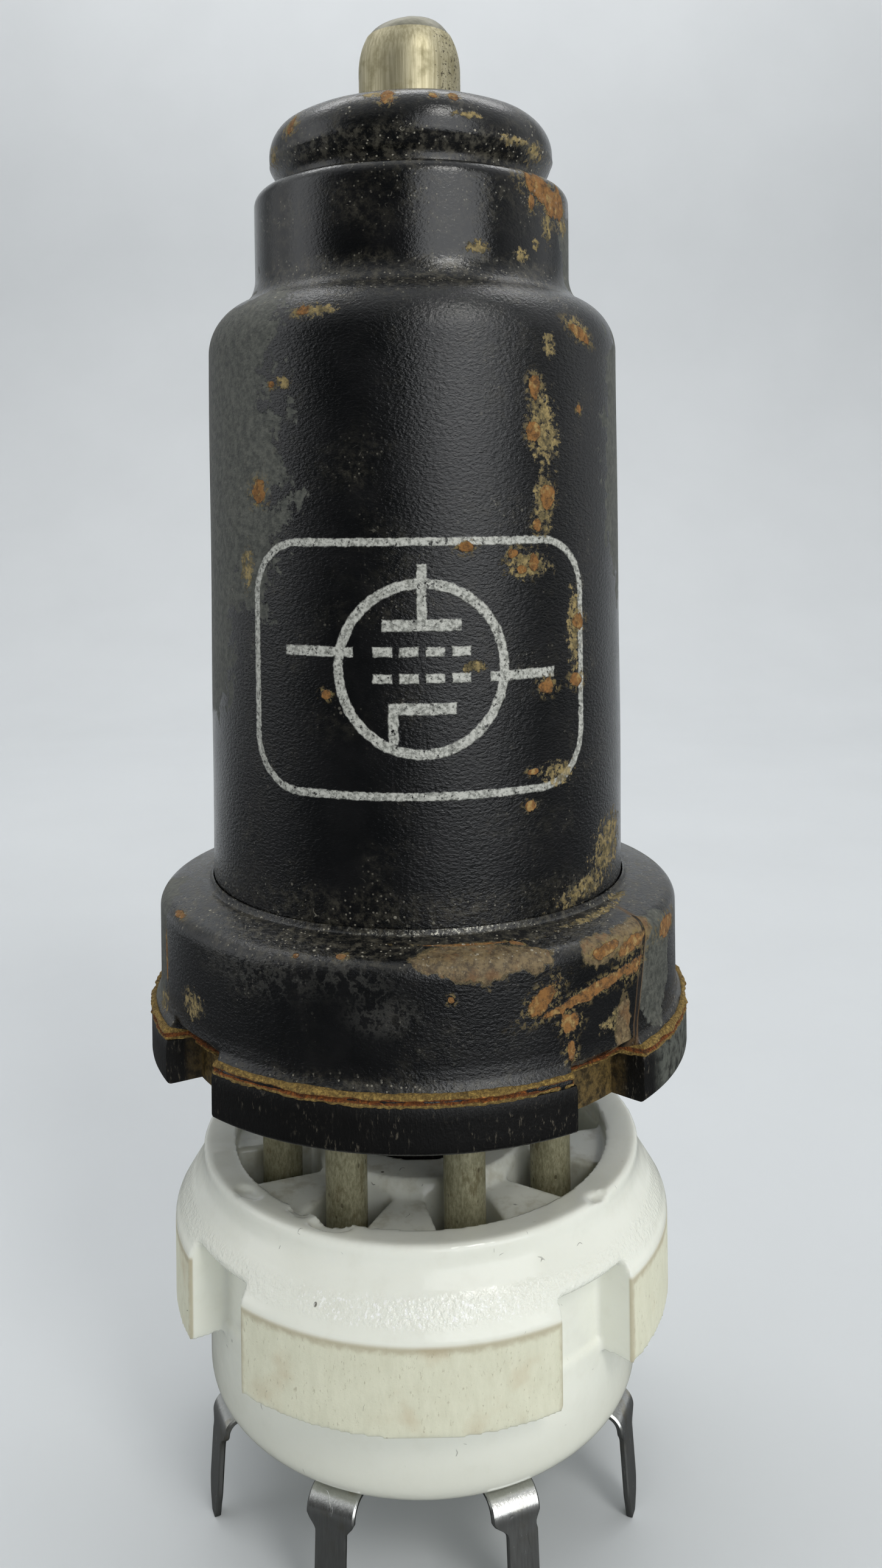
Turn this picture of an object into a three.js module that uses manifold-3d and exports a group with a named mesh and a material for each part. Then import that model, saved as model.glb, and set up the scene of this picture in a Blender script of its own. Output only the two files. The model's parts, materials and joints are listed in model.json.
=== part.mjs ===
// A steel receiving tube with a top cap and a seven-pin octal base, standing part way out of a white
// ceramic octal socket. Millimetres, +Z up along the tube's axis, -Y towards the front.
// The origin is on the bench, under the axis, level with the tips of the socket's solder tails.

import * as THREE from "three";
import { mergeVertices } from "three/addons/utils/BufferGeometryUtils.js";
import Module from "manifold-3d";

const wasm = await Module();
wasm.setup();

// ---------------------------------------------------------------- driving dimensions
// Tube heights are measured from the underside of the octal base, socket heights from the tail tips.
const RAISED = 6.2; // how far the tube stands out of its seated place
const PIN_COUNT = 8; // places on the octal circle
const MISSING_PIN = 6; // the place with no pin
const PIN_CIRCLE_R = 8.73;
const PIN_R = 1.18;
const PIN_BORE_R = 0.75;
const PIN_LENGTH = 11.1; // below the base
const PIN_PITCH = 360 / PIN_COUNT;
const FIRST_PLACE = 16; // degrees from the front to the nearest pin on the right
const KEY_ANGLE = 218.5; // degrees, half way between pins 8 and 1
const FINE_GAP = 0.05; // between fixed pieces

const SHELL = { r: 12.58, wall: 0.6, bottom: 8.3, flangeR: 14.3, flangeTop: 8.85 };
const SHOULDER = { r: 3.22, z: 41.6, fillet: 0.9 };
const NECK = { r: 9.74, top: 51.55, edge: 0.9, holeR: 3.2 };
const SKIRT = {
  r: 15.75, flareR: 16.25, flareRound: 0.05, flareTop: 3.7, wall: 0.5, bottom: 2.5, cornerZ: 8.5, corner: 0.9,
  lipR: 13.05, innerR: 12.68, lip: 9.85, rise: 10.1,
};
const CRIMP = { low: 3.3, inset: 0.1 }; // the skirt's edge, folded in over each notch
const BASE = { r: 16.36, thickness: 2.44, edge: 0.35, stepR: 12.5, stepTopR: 12.0, stepTop: 3.64 };
const PLUG = { r: 3.95, end: -14.3, chamfer: 0.6, boreR: 2.9, boreEnd: -13.1 };
const NOTCH = { count: 4, first: 38.5, halfAngle: 8.75, floorR: 14.3 };
const KEY = { width: 2.0, proud: 1.0, sunk: 0.4, low: -13.5, high: 0.5 };
const PIN = { tip: 0.75, flangeR: 1.53, flange: 0.4, boreEnd: -9.9, floor: -10.2 };

const ROLL = { r: 2.3, centreR: 6.5, z: 53.8, wall: 0.5, foot: 51.6, footR: 8.2, holeR: 4.6, gap: 0.2 };
const INSULATOR = {
  holeR: 1.0, bottom: 52.2, footR: 7.1, shoulderR: 6.2, shoulder: 55.4, seatR: 3.85,
  bossR: 2.65, bossTop: 57.9,
};
const CAP = {
  r: 3.175, foot: 56.2, straight: 59.25, crownR: 1.45, crownRise: 3.05, edge: 61.35, wall: 0.35, top: 62.8,
};
const TOP_SEAL = { boreR: 2.5, low: 50.2, high: 51.9, beadInset: 0.15, wireHoleR: 0.35 };

const HEADER = { bottom: 7.45, flangeTop: 8.2, top: 9.4, r: 11.6, wall: 0.8 };
const LEAD = {
  circleR: 6.6, r: 0.25, beadR: 0.8, eyeletR: 1.1, holeR: 1.15, top: 13.5,
  swingTop: 7.2, swingEnd: 3.4, inPin: 2,
};
const EYELET = { low: 8.1, high: 10.1, beadLow: 8.2, beadHigh: 9.9 };
const GRID_LEAD = { r: 0.22, above: 1.9, bend: 4 };
const EXHAUST = {
  r: 1.15, boreR: 0.85, holeR: 1.25, top: 9.8, nipTop: -4.5, nipR: 0.5, nip: -6.3, end: -6.5, boreEnd: -4,
};
const MICA = { r: 11.2, thickness: 0.3, low: 14.2, high: 39.6 };
const GRIDS = {
  control: { x: 2.2, y: 1.5, rodR: 0.35, turns: 7 },
  screen: { x: 4.3, y: 3.3, rodR: 0.4, turns: 6 },
  suppressor: { x: 6.1, y: 5.1, rodR: 0.4, turns: 5 },
};
const GRID = { below: 1.2, above: 1.5, wireR: 0.12, margin: 0.8 };
const PLATE = { r: 7.6, wall: 0.3, low: 17, high: 37, earWidth: 1.6, earBelow: 0.9, earAbove: 1.2 };
const CATHODE = { r: 0.85, boreR: 0.62, low: 13, high: 41 };
const HEATER = { r: 0.14, legX: 0.3, below: 1.4, inside: 2 };
const SUPPORT = { x: 9.6, r: 0.5, low: 9.5, high: 40.8 };
const STEM_SHIELD = { footR: 4.8, topR: 3.6, sheet: 0.3, low: 9.5, high: 12.4 };
const GETTER = { y: 5, r: 1.5, rimR: 1.7, rim: 0.8, sheet: 0.3 };
const STRAP = { half: 0.6, from: -3.4, to: -1.2, sheet: 0.25 };
const SPACER = { holeR: 1.6, r: 8.4, sheet: 0.3, low: 44.9, high: 46.3 };

const SOCKET = {
  bottom: 6.5, foot: 1.4, bodyR: 13.05, lugBottom: 11.9, lugTop: 16.45, lugR: 15.1,
  rimR: 13.32, rimTop: 20.6, rimEdge: 0.4, rimInnerR: 11.45, rimInnerTop: 20.42, floor: 19.5,
  bossR: 6.4, bossFootR: 6.9, bossTop: 20.4, bore: 4.25, keywayWidth: 2.6, keywayR: 5.5,
};
const FLARE = [[15.05, 16.8], [14.62, 17.5], [14.15, 18.25], [13.8, 18.8], [13.5, 19.3], [13.34, 19.75]];
const LUG = { count: 4, first: -5.7, halfAngle: 34.8, hollowR: 12.9, hollowLow: 12.3, hollowTop: 17.4 };
const CAVITY = { innerR: 6.6, outerR: 11.2, halfInner: 1.8, halfOuter: 1.95, bottom: 7.8 };
const CLIP = { gap: 0.17, sheet: 0.3, low: 9.8, high: 17.6, mouth: 50 };
const SPINE = { half: 1.2, top: 17, slack: 0.3 };
const TAIL = {
  turn: 6, sheet: 0.36, foot: 6.28, bendR: 0.88, bendAt: 11.95, endR: 13.1,
  shoulderWidth: 2.8, shoulderTop: 5.45, shoulderEnd: 4.65, width: 1.8, taper: 1.6, tip: 0.7,
};

// ---------------------------------------------------------------- colours
const LOOKS = {
  black_paint: [0x1b1c1d, 0.42, 0.3],
  black_phenolic: [0x141414, 0.5, 0],
  bare_steel: [0x8c8f92, 0.4, 0.9],
  pin_brass: [0x8b8467, 0.45, 0.85],
  cap_metal: [0xb7ae8e, 0.3, 0.95],
  solder: [0x85867e, 0.55, 0.8],
  tinned: [0xc9cbcc, 0.25, 1],
  nickel: [0xa9abac, 0.35, 1],
  carbonised: [0x2c2c2e, 0.8, 0.3],
  mica: [0xd8d4c6, 0.4, 0],
  glass: [0x8fa39a, 0.1, 0],
  oxide: [0xe4e1d8, 0.8, 0],
  ceramic: [0xf0eeea, 0.25, 0],
};

function material(look) {
  const [color, roughness, metalness] = LOOKS[look];
  return new THREE.MeshStandardMaterial({ color, roughness, metalness });
}

// ---------------------------------------------------------------- shape helpers
const radians = THREE.MathUtils.degToRad;

// A point on a circle about the axis. Angles start at the front (-Y) and grow towards +X.
function around(radius, degrees, z = 0) {
  const a = radians(degrees);
  return new THREE.Vector3(radius * Math.sin(a), -radius * Math.cos(a), z);
}

// Points of a round stretch of an outline, both ends included. Angles in degrees.
function arc(r, z, radius, from, to, steps, tall = radius) {
  const points = [];
  for (let i = 0; i <= steps; i += 1) {
    const a = radians(from + ((to - from) * i) / steps);
    points.push([r + radius * Math.cos(a), z + tall * Math.sin(a)]);
  }
  return points;
}

// Turns an anticlockwise [radius, height] outline about the axis.
function turned(outline, segments) {
  const points = outline.map(([r, z]) => new THREE.Vector2(r, z));
  return new THREE.LatheGeometry(points, segments).rotateX(Math.PI / 2);
}

// A ring or tube: the outline closes on itself.
function ring(innerR, outerR, low, high, segments) {
  return turned([[innerR, low], [outerR, low], [outerR, high], [innerR, high], [innerR, low]], segments);
}

function rod(radius, low, high, segments, x = 0, y = 0) {
  return turned([[0, low], [radius, low], [radius, high], [0, high]], segments).translate(x, y, 0);
}

// A flat outline in the XY plane, pushed up from one height to another.
function prism(points, low, high) {
  const shape = new THREE.Shape(points.map(([x, y]) => new THREE.Vector2(x, y)));
  return new THREE.ExtrudeGeometry(shape, { depth: high - low, bevelEnabled: false }).translate(0, 0, low);
}

// A radial block: centred on an angle, spanning two radii, with its own half widths.
function radialBlock(innerR, outerR, halfInner, halfOuter, low, high) {
  const outline = [[-halfInner, -innerR], [-halfOuter, -outerR], [halfOuter, -outerR], [halfInner, -innerR]];
  return prism(outline, low, high);
}

// A ring sector between two angles.
function sector(innerR, outerR, from, to, steps, low, high) {
  const points = [];
  for (let i = 0; i <= steps; i += 1) {
    const p = around(outerR, from + ((to - from) * i) / steps);
    points.push([p.x, p.y]);
  }
  for (let i = steps; i >= 0; i -= 1) {
    const p = around(innerR, from + ((to - from) * i) / steps);
    points.push([p.x, p.y]);
  }
  return prism(points, low, high);
}

// A round wire along a path given as a function of 0..1.
function wire(radius, pointAt, steps, sides) {
  const path = new THREE.Curve();
  path.getPoint = (t) => pointAt(t);
  const section = new THREE.Shape();
  for (let i = 0; i < sides; i += 1) {
    const a = (2 * Math.PI * i) / sides;
    const place = [radius * Math.cos(a), radius * Math.sin(a)];
    if (i === 0) section.moveTo(...place);
    else section.lineTo(...place);
  }
  return new THREE.ExtrudeGeometry(section, { steps, extrudePath: path });
}

function spin(geometry, degrees) {
  return geometry.clone().rotateZ(radians(degrees));
}

// ---------------------------------------------------------------- joining and cutting
function solid(geometry) {
  const bare = geometry.clone();
  bare.deleteAttribute("normal");
  bare.deleteAttribute("uv");
  const merged = mergeVertices(bare, 1e-4);
  const mesh = new wasm.Mesh({
    numProp: 3,
    vertProperties: new Float32Array(merged.attributes.position.array),
    triVerts: new Uint32Array(merged.index.array),
  });
  return new wasm.Manifold(mesh);
}

function joined(...geometries) {
  return geometries.map(solid).reduce((whole, piece) => whole.add(piece));
}

function cut(whole, ...geometries) {
  return geometries.map(solid).reduce((left, tool) => left.subtract(tool), whole);
}

function geometryOf(manifold) {
  const mesh = manifold.getMesh();
  const geometry = new THREE.BufferGeometry();
  geometry.setAttribute("position", new THREE.BufferAttribute(Float32Array.from(mesh.vertProperties), 3));
  geometry.setIndex(new THREE.BufferAttribute(Uint32Array.from(mesh.triVerts), 1));
  return geometry;
}

function piece(name, look, geometry) {
  const mesh = new THREE.Mesh(geometry, material(look));
  mesh.name = name;
  return mesh;
}

function pinAngle(number) {
  return KEY_ANGLE + PIN_PITCH * (number - 0.5);
}

// ---------------------------------------------------------------- the drawn steel shell
// The shell's outline from the foot to the top, moved inwards by the given depth.
function shellSide(depth, steps) {
  const centreR = SHELL.r - SHOULDER.r;
  const outer = SHOULDER.r - depth;
  const fillet = SHOULDER.fillet + depth;
  const neckR = NECK.r - depth;
  const meet = THREE.MathUtils.radToDeg(Math.acos((neckR + fillet - centreR) / (outer + fillet)));
  const filletZ = SHOULDER.z + (outer + fillet) * Math.sin(radians(meet));
  const edge = NECK.edge - Math.min(depth, NECK.edge / 2);
  const top = NECK.top - depth;
  return [
    ...arc(centreR, SHOULDER.z, outer, 0, meet, steps),
    ...arc(neckR + fillet, filletZ, fillet, 180 + meet, 180, 2).slice(1),
    ...arc(neckR - edge, top - edge, edge, 0, 90, 2),
  ];
}

function envelope() {
  const inside = shellSide(SHELL.wall, 3).reverse();
  const outline = [
    [SHELL.r - SHELL.wall, SHELL.bottom],
    [SHELL.flangeR, SHELL.bottom],
    [SHELL.flangeR, SHELL.flangeTop],
    [SHELL.r, SHELL.flangeTop],
    ...shellSide(0, 5),
    [NECK.holeR, NECK.top],
    [NECK.holeR, NECK.top - SHELL.wall],
    ...inside,
    [SHELL.r - SHELL.wall, SHELL.bottom],
  ];
  return piece("envelope", "black_paint", turned(outline, 32));
}

// ---------------------------------------------------------------- the top cap assembly
function capSupport() {
  const inner = ROLL.r - ROLL.wall;
  const footTop = ROLL.foot + ROLL.wall;
  const outline = [
    [ROLL.holeR, ROLL.foot],
    [ROLL.footR, ROLL.foot],
    ...arc(ROLL.centreR, ROLL.z, ROLL.r, -42, 92, 7),
    ...arc(ROLL.centreR, ROLL.z, inner, 92, -42, 5),
    [ROLL.footR - ROLL.wall, footTop],
    [ROLL.holeR, footTop],
    [ROLL.holeR, ROLL.foot],
  ];
  return piece("cap_support", "black_paint", turned(outline, 28));
}

function capInsulator() {
  const bead = ROLL.r - ROLL.wall - ROLL.gap;
  const outline = [
    [INSULATOR.holeR, INSULATOR.bottom],
    [INSULATOR.footR, INSULATOR.bottom],
    ...arc(ROLL.centreR, ROLL.z, bead, -38, 80, 4),
    [INSULATOR.shoulderR, INSULATOR.shoulder],
    [INSULATOR.seatR, CAP.foot - FINE_GAP],
    [INSULATOR.bossR, CAP.foot - FINE_GAP],
    [INSULATOR.bossR, INSULATOR.bossTop],
    [INSULATOR.holeR, INSULATOR.bossTop],
    [INSULATOR.holeR, INSULATOR.bottom],
  ];
  return piece("cap_insulator", "black_phenolic", turned(outline, 28));
}

const CAP_EDGE_SWEEP = THREE.MathUtils.radToDeg(Math.asin((CAP.edge - CAP.straight) / CAP.crownRise));

// The cap's rounded crown between two sweep angles, moved inwards by the given depth.
function crown(depth, from, to, steps) {
  const swell = CAP.r - CAP.crownR;
  return arc(CAP.crownR, CAP.straight, swell - depth, from, to, steps, CAP.crownRise - depth);
}

function gridCap() {
  const outline = [
    [CAP.r - CAP.wall, CAP.foot],
    [CAP.r, CAP.foot],
    ...crown(0, 0, CAP_EDGE_SWEEP, 4),
    ...crown(CAP.wall, CAP_EDGE_SWEEP, 0, 3),
    [CAP.r - CAP.wall, CAP.foot],
  ];
  return piece("grid_cap", "cap_metal", turned(outline, 20));
}

function capSolder() {
  const outline = [
    [0, CAP.edge + FINE_GAP],
    ...crown(FINE_GAP, CAP_EDGE_SWEEP + 2, 86, 4),
    [CAP.crownR / 2, CAP.top - FINE_GAP * 2],
    [0, CAP.top],
  ];
  return piece("cap_solder", "solder", turned(outline, 16));
}

// The wire climbs from the control grid's side rod to the axis, then straight to the cap.
function gridLead() {
  const low = MICA.high + GRID_LEAD.above;
  const high = CAP.edge - FINE_GAP;
  const pointAt = (t) => {
    const z = THREE.MathUtils.lerp(low, high, t ** 1.6);
    const bend = THREE.MathUtils.smoothstep(z, low, low + GRID_LEAD.bend);
    return new THREE.Vector3(GRIDS.control.x * (1 - bend), 0, z);
  };
  return piece("grid_lead_wire", "nickel", wire(GRID_LEAD.r, pointAt, 12, 5));
}

function topSeal() {
  const { boreR, low, high, beadInset, wireHoleR } = TOP_SEAL;
  const eyelet = ring(boreR, NECK.holeR - FINE_GAP, low, high, 16);
  const bead = ring(wireHoleR, boreR - FINE_GAP, low + beadInset, high - beadInset, 12);
  return [piece("top_eyelet", "bare_steel", eyelet), piece("top_glass_bead", "glass", bead)];
}

// ---------------------------------------------------------------- header and seals
function header() {
  const under = HEADER.top - HEADER.wall;
  const innerR = HEADER.r - HEADER.wall;
  const outline = [
    [0, under],
    [innerR, under],
    [innerR, HEADER.bottom],
    [SHELL.flangeR, HEADER.bottom],
    [SHELL.flangeR, HEADER.flangeTop],
    [HEADER.r, HEADER.flangeTop],
    [HEADER.r, HEADER.top],
    [0, HEADER.top],
  ];
  const holes = LEADS.map(([, number]) => {
    const place = around(LEAD.circleR, pinAngle(number));
    return rod(LEAD.holeR, under - 1, HEADER.top + 1, 8, place.x, place.y);
  });
  const exhaustHole = rod(EXHAUST.holeR, under - 1, HEADER.top + 1, 10);
  return piece("header", "bare_steel", geometryOf(cut(solid(turned(outline, 32)), exhaustHole, ...holes)));
}

// Insulated leads, each with the pin it ends in.
const LEADS = [
  ["heater_lead_a", 2],
  ["plate_lead", 3],
  ["screen_lead", 4],
  ["suppressor_lead", 5],
  ["heater_lead_b", 7],
  ["cathode_lead", 8],
];
const SHELL_PIN = 1;

// A lead runs straight through its glass seal, then swings out into its hollow pin.
function leadWire(name, number, top) {
  const angle = pinAngle(number);
  const bottom = -PIN_LENGTH + LEAD.inPin;
  const pointAt = (t) => {
    const z = THREE.MathUtils.lerp(top, bottom, t);
    const swing = THREE.MathUtils.smoothstep(-z, -LEAD.swingTop, -LEAD.swingEnd);
    return around(THREE.MathUtils.lerp(LEAD.circleR, PIN_CIRCLE_R, swing), angle, z);
  };
  return piece(name, "nickel", wire(LEAD.r, pointAt, 12, 4));
}

function seal(number) {
  const place = around(LEAD.circleR, pinAngle(number));
  const { low, high, beadLow, beadHigh } = EYELET;
  const steel = ring(LEAD.beadR + FINE_GAP, LEAD.eyeletR, low, high, 8);
  const glass = ring(LEAD.r + FINE_GAP, LEAD.beadR, beadLow, beadHigh, 8);
  const eyelet = piece(`eyelet_${number}`, "bare_steel", steel);
  const bead = piece(`glass_bead_${number}`, "glass", glass);
  eyelet.position.copy(place);
  bead.position.copy(place);
  return [eyelet, bead];
}

function exhaustTube() {
  const outline = [
    [0, EXHAUST.end],
    [EXHAUST.nipR, EXHAUST.nip],
    [EXHAUST.r, EXHAUST.nipTop],
    [EXHAUST.r, EXHAUST.top],
    [EXHAUST.boreR, EXHAUST.top],
    [EXHAUST.boreR, EXHAUST.boreEnd],
    [0, EXHAUST.boreEnd - EXHAUST.nipR],
  ];
  return piece("exhaust_tube", "bare_steel", turned(outline, 12));
}

// ---------------------------------------------------------------- base shell, base and pins
function skirtOutline() {
  const { r, flareR, flareRound, flareTop, wall, bottom, cornerZ, corner, lipR, innerR, lip, rise } = SKIRT;
  return [
    [flareR - wall, bottom],
    [flareR, bottom],
    [flareR - flareRound, bottom + wall],
    [r, flareTop],
    ...arc(r - corner, cornerZ, corner, 0, 80, 3),
    [lipR, lip],
    [innerR, rise],
    [innerR, rise - wall],
    ...arc(r - corner, cornerZ, corner - wall, 80, 0, 2),
    [r - wall, flareTop],
    [flareR - wall, bottom],
  ];
}

// A block over each notch of the base, between two radii and two heights.
function overNotches(innerR, outerR, half, low, high) {
  const blocks = [];
  for (let i = 0; i < NOTCH.count; i += 1) {
    const centre = NOTCH.first + (360 / NOTCH.count) * i;
    blocks.push(sector(innerR, outerR, centre - half, centre + half, 2, low, high));
  }
  return blocks;
}

// The skirt's edge is cut away over each notch, and a crimped tab closes the gap above it.
function baseShell() {
  const notches = overNotches(NOTCH.floorR, BASE.r + 2, NOTCH.halfAngle, 0, CRIMP.low);
  const { low, inset } = CRIMP;
  const half = NOTCH.halfAngle - 1;
  const crimps = overNotches(NOTCH.floorR + inset, SKIRT.r - inset, half, low, low + SKIRT.wall);
  const notched = cut(solid(turned(skirtOutline(), 32)), ...notches);
  const skirt = crimps.reduce((whole, tab) => whole.add(solid(tab)), notched);
  return piece("base_shell", "black_paint", geometryOf(skirt));
}

function pinNumbers() {
  const numbers = [];
  for (let n = 1; n <= PIN_COUNT; n += 1) {
    if (n !== MISSING_PIN) numbers.push(n);
  }
  return numbers;
}

// One moulding: the notched disc, the hollow aligning plug and its key.
function octalBase() {
  const outline = [
    [0, PLUG.end],
    [PLUG.r - PLUG.chamfer, PLUG.end],
    [PLUG.r, PLUG.end + PLUG.chamfer],
    [PLUG.r, 0],
    [BASE.r - BASE.edge, 0],
    [BASE.r, BASE.edge],
    [BASE.r, BASE.thickness],
    [BASE.stepR, BASE.thickness],
    [BASE.stepTopR, BASE.stepTop],
    [PLUG.boreR, BASE.stepTop],
    [PLUG.boreR, PLUG.boreEnd],
    [0, PLUG.boreEnd],
  ];
  const half = KEY.width / 2;
  const keyBlock = radialBlock(PLUG.r - KEY.sunk, PLUG.r + KEY.proud, half, half, KEY.low, KEY.high);
  const key = spin(keyBlock, KEY_ANGLE);
  const notches = overNotches(NOTCH.floorR, BASE.r + 2, NOTCH.halfAngle, -1, BASE.thickness + 1);
  const holes = pinNumbers().map((number) => {
    const place = around(PIN_CIRCLE_R, pinAngle(number));
    return rod(PIN_R + FINE_GAP, -1, BASE.stepTop + 1, 10, place.x, place.y);
  });
  const moulding = cut(joined(turned(outline, 32), key), ...notches, ...holes);
  return piece("octal_base", "black_phenolic", geometryOf(moulding));
}

function basePin(number) {
  const staked = BASE.stepTop + FINE_GAP;
  const outline = [
    [0, -PIN_LENGTH],
    ...arc(PIN_R - PIN.tip, -PIN_LENGTH + PIN.tip, PIN.tip, -90, 0, 2),
    [PIN_R, staked],
    [PIN.flangeR, staked],
    [PIN.flangeR, staked + PIN.flange],
    [PIN_BORE_R, staked + PIN.flange],
    [PIN_BORE_R, PIN.boreEnd],
    [0, PIN.floor],
  ];
  const mesh = piece(`pin_${number}`, "pin_brass", turned(outline, 10));
  mesh.position.copy(around(PIN_CIRCLE_R, pinAngle(number)));
  return mesh;
}

// ---------------------------------------------------------------- the electrodes
function gridFrame(name, look, size) {
  const low = MICA.low - GRID.below;
  const high = MICA.high + GRID.above;
  const rods = [-size.x, size.x].map((x) => rod(size.rodR, low, high, 6, x, 0));
  const coilLow = PLATE.low - GRID.margin;
  const coilHigh = PLATE.high + GRID.margin;
  const turn = (t) => {
    const a = 2 * Math.PI * size.turns * t;
    const z = THREE.MathUtils.lerp(coilLow, coilHigh, t);
    return new THREE.Vector3(size.x * Math.cos(a), size.y * Math.sin(a), z);
  };
  const coil = wire(GRID.wireR, turn, size.turns * 6, 3);
  return piece(name, look, geometryOf(joined(coil, ...rods)));
}

function cathodeSleeve() {
  return piece("cathode_sleeve", "oxide", ring(CATHODE.boreR, CATHODE.r, CATHODE.low, CATHODE.high, 10));
}

// A hairpin: up one leg, over, and down the other.
function heater() {
  const low = CATHODE.low - HEATER.below;
  const high = CATHODE.high - HEATER.inside;
  const pointAt = (t) => {
    const x = -HEATER.legX * Math.cos(Math.PI * THREE.MathUtils.smoothstep(t, 0.4, 0.6));
    const climb = 1 - Math.abs(2 * t - 1) ** 1.5;
    return new THREE.Vector3(x, 0, THREE.MathUtils.lerp(low, high, climb));
  };
  return piece("heater", "oxide", wire(HEATER.r, pointAt, 20, 4));
}

function plateEars(grow) {
  const half = PLATE.earWidth / 2 + grow;
  const inner = PLATE.r - PLATE.wall - grow;
  const outer = PLATE.r + grow;
  const low = MICA.low - PLATE.earBelow;
  const high = MICA.high + PLATE.earAbove;
  return [0, 180].map((turn) => spin(radialBlock(inner, outer, half, half, low, high), turn));
}

// The plate's ears stand across the grids' row of rods, on the Y axis.
function plate() {
  const sleeve = ring(PLATE.r - PLATE.wall, PLATE.r, PLATE.low, PLATE.high, 20);
  return piece("plate", "carbonised", geometryOf(joined(sleeve, ...plateEars(0))));
}

function mica(name, low) {
  const high = low + MICA.thickness;
  const disc = solid(rod(MICA.r, low, high, 20));
  const hole = (radius, sides, x) => rod(radius + FINE_GAP, low - 1, high + 1, sides, x);
  const through = [hole(CATHODE.r, 10, 0), hole(SUPPORT.r, 6, -SUPPORT.x), hole(SUPPORT.r, 6, SUPPORT.x)];
  for (const { x, rodR } of Object.values(GRIDS)) through.push(hole(rodR, 6, x), hole(rodR, 6, -x));
  return piece(name, "mica", geometryOf(cut(disc, ...through, ...plateEars(FINE_GAP))));
}

function mountSupport(name, x) {
  return piece(name, "nickel", rod(SUPPORT.r, SUPPORT.low, SUPPORT.high, 6, x, 0));
}

function stemShield() {
  const { footR, topR, sheet, low, high } = STEM_SHIELD;
  const outline = [
    [footR - sheet, low],
    [footR, low],
    [topR, high],
    [topR - sheet, high],
    [footR - sheet, low],
  ];
  return piece("stem_shield", "bare_steel", turned(outline, 16));
}

function getterTab() {
  const { y, r, rimR, rim, sheet } = GETTER;
  const low = MICA.high + MICA.thickness + FINE_GAP;
  const cup = [
    [0, low],
    [r, low],
    [rimR, low + rim],
    [rimR - sheet, low + rim],
    [r - sheet, low + sheet],
    [0, low + sheet],
  ];
  const { half, from, to } = STRAP;
  const strap = prism([[-half, from], [half, from], [half, to], [-half, to]], low, low + STRAP.sheet);
  return piece("getter_tab", "nickel", geometryOf(joined(turned(cup, 12), strap)).translate(0, y, 0));
}

function spacerShield() {
  const { holeR, r, sheet, low, high } = SPACER;
  const under = high - sheet;
  const outline = [
    [holeR, under],
    [r - sheet, under],
    [r - sheet, low],
    [r, low],
    [r, high],
    [holeR, high],
    [holeR, under],
  ];
  return piece("spacer_shield", "bare_steel", turned(outline, 20));
}

// ---------------------------------------------------------------- the ceramic socket
function socketOutline() {
  const { bottom, foot, bodyR, lugBottom, lugTop, lugR } = SOCKET;
  const { rimR, rimTop, rimEdge, rimInnerR, rimInnerTop, floor } = SOCKET;
  return [
    [0, bottom],
    ...arc(bodyR - foot, bottom + foot, foot, -90, 0, 4),
    [bodyR, lugBottom],
    [lugR, lugBottom],
    [lugR, lugTop],
    ...FLARE,
    ...arc(rimR - rimEdge, rimTop - rimEdge, rimEdge, 0, 90, 2),
    [rimInnerR, rimInnerTop],
    [rimInnerR, floor],
    [SOCKET.bossFootR, floor],
    [SOCKET.bossR, SOCKET.bossTop],
    [0, SOCKET.bossTop],
  ];
}

function socketBody() {
  const keywayHalf = SOCKET.keywayWidth / 2;
  const keyway = radialBlock(1, SOCKET.keywayR, keywayHalf, keywayHalf, 0, SOCKET.rimTop);
  const tools = [rod(SOCKET.bore, 0, SOCKET.rimTop, 20), spin(keyway, KEY_ANGLE)];
  const { innerR, outerR, halfInner, halfOuter, bottom } = CAVITY;
  const slotR = PIN_CIRCLE_R + PIN_R + CLIP.gap - SPINE.slack;
  const slotHalf = SPINE.half + SPINE.slack;
  for (let i = 0; i < PIN_COUNT; i += 1) {
    const angle = FIRST_PLACE + PIN_PITCH * i;
    const cavity = radialBlock(innerR, outerR, halfInner, halfOuter, bottom, SOCKET.rimTop);
    const slot = radialBlock(slotR, slotR + CLIP.sheet + 2 * SPINE.slack, slotHalf, slotHalf, 0, bottom + 1);
    tools.push(spin(cavity, angle), spin(slot, angle));
  }
  const apart = 360 / LUG.count;
  for (let i = 0; i < LUG.count; i += 1) {
    const from = LUG.first + LUG.halfAngle + apart * i;
    const to = LUG.first - LUG.halfAngle + apart * (i + 1);
    const outside = SOCKET.lugR + 2;
    tools.push(sector(SOCKET.bodyR, outside, from, to, 3, SOCKET.lugBottom - 1, LUG.hollowTop));
    tools.push(sector(LUG.hollowR, outside, from, to, 3, LUG.hollowLow, LUG.hollowTop));
  }
  return piece("socket_body", "ceramic", geometryOf(cut(solid(turned(socketOutline(), 32)), ...tools)));
}

// The foot and tail seen from the side, pushed out to the full width of the strip.
function bentStrip() {
  const { foot, sheet, bendR, bendAt, endR, shoulderWidth } = TAIL;
  const half = sheet / 2;
  const bendZ = foot - bendR;
  const startR = PIN_CIRCLE_R + PIN_R + CLIP.gap;
  const outline = [
    [startR, foot - half],
    ...arc(bendAt, bendZ, bendR - half, 90, 0, 3),
    [endR - half, 0],
    [endR + half, 0],
    ...arc(bendAt, bendZ, bendR + half, 0, 90, 3),
    [startR, foot + half],
  ];
  const upright = new THREE.Matrix4().set(0, 0, -1, 0, -1, 0, 0, 0, 0, 1, 0, 0, 0, 0, 0, 1);
  return prism(outline, -shoulderWidth / 2, shoulderWidth / 2).applyMatrix4(upright);
}

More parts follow.
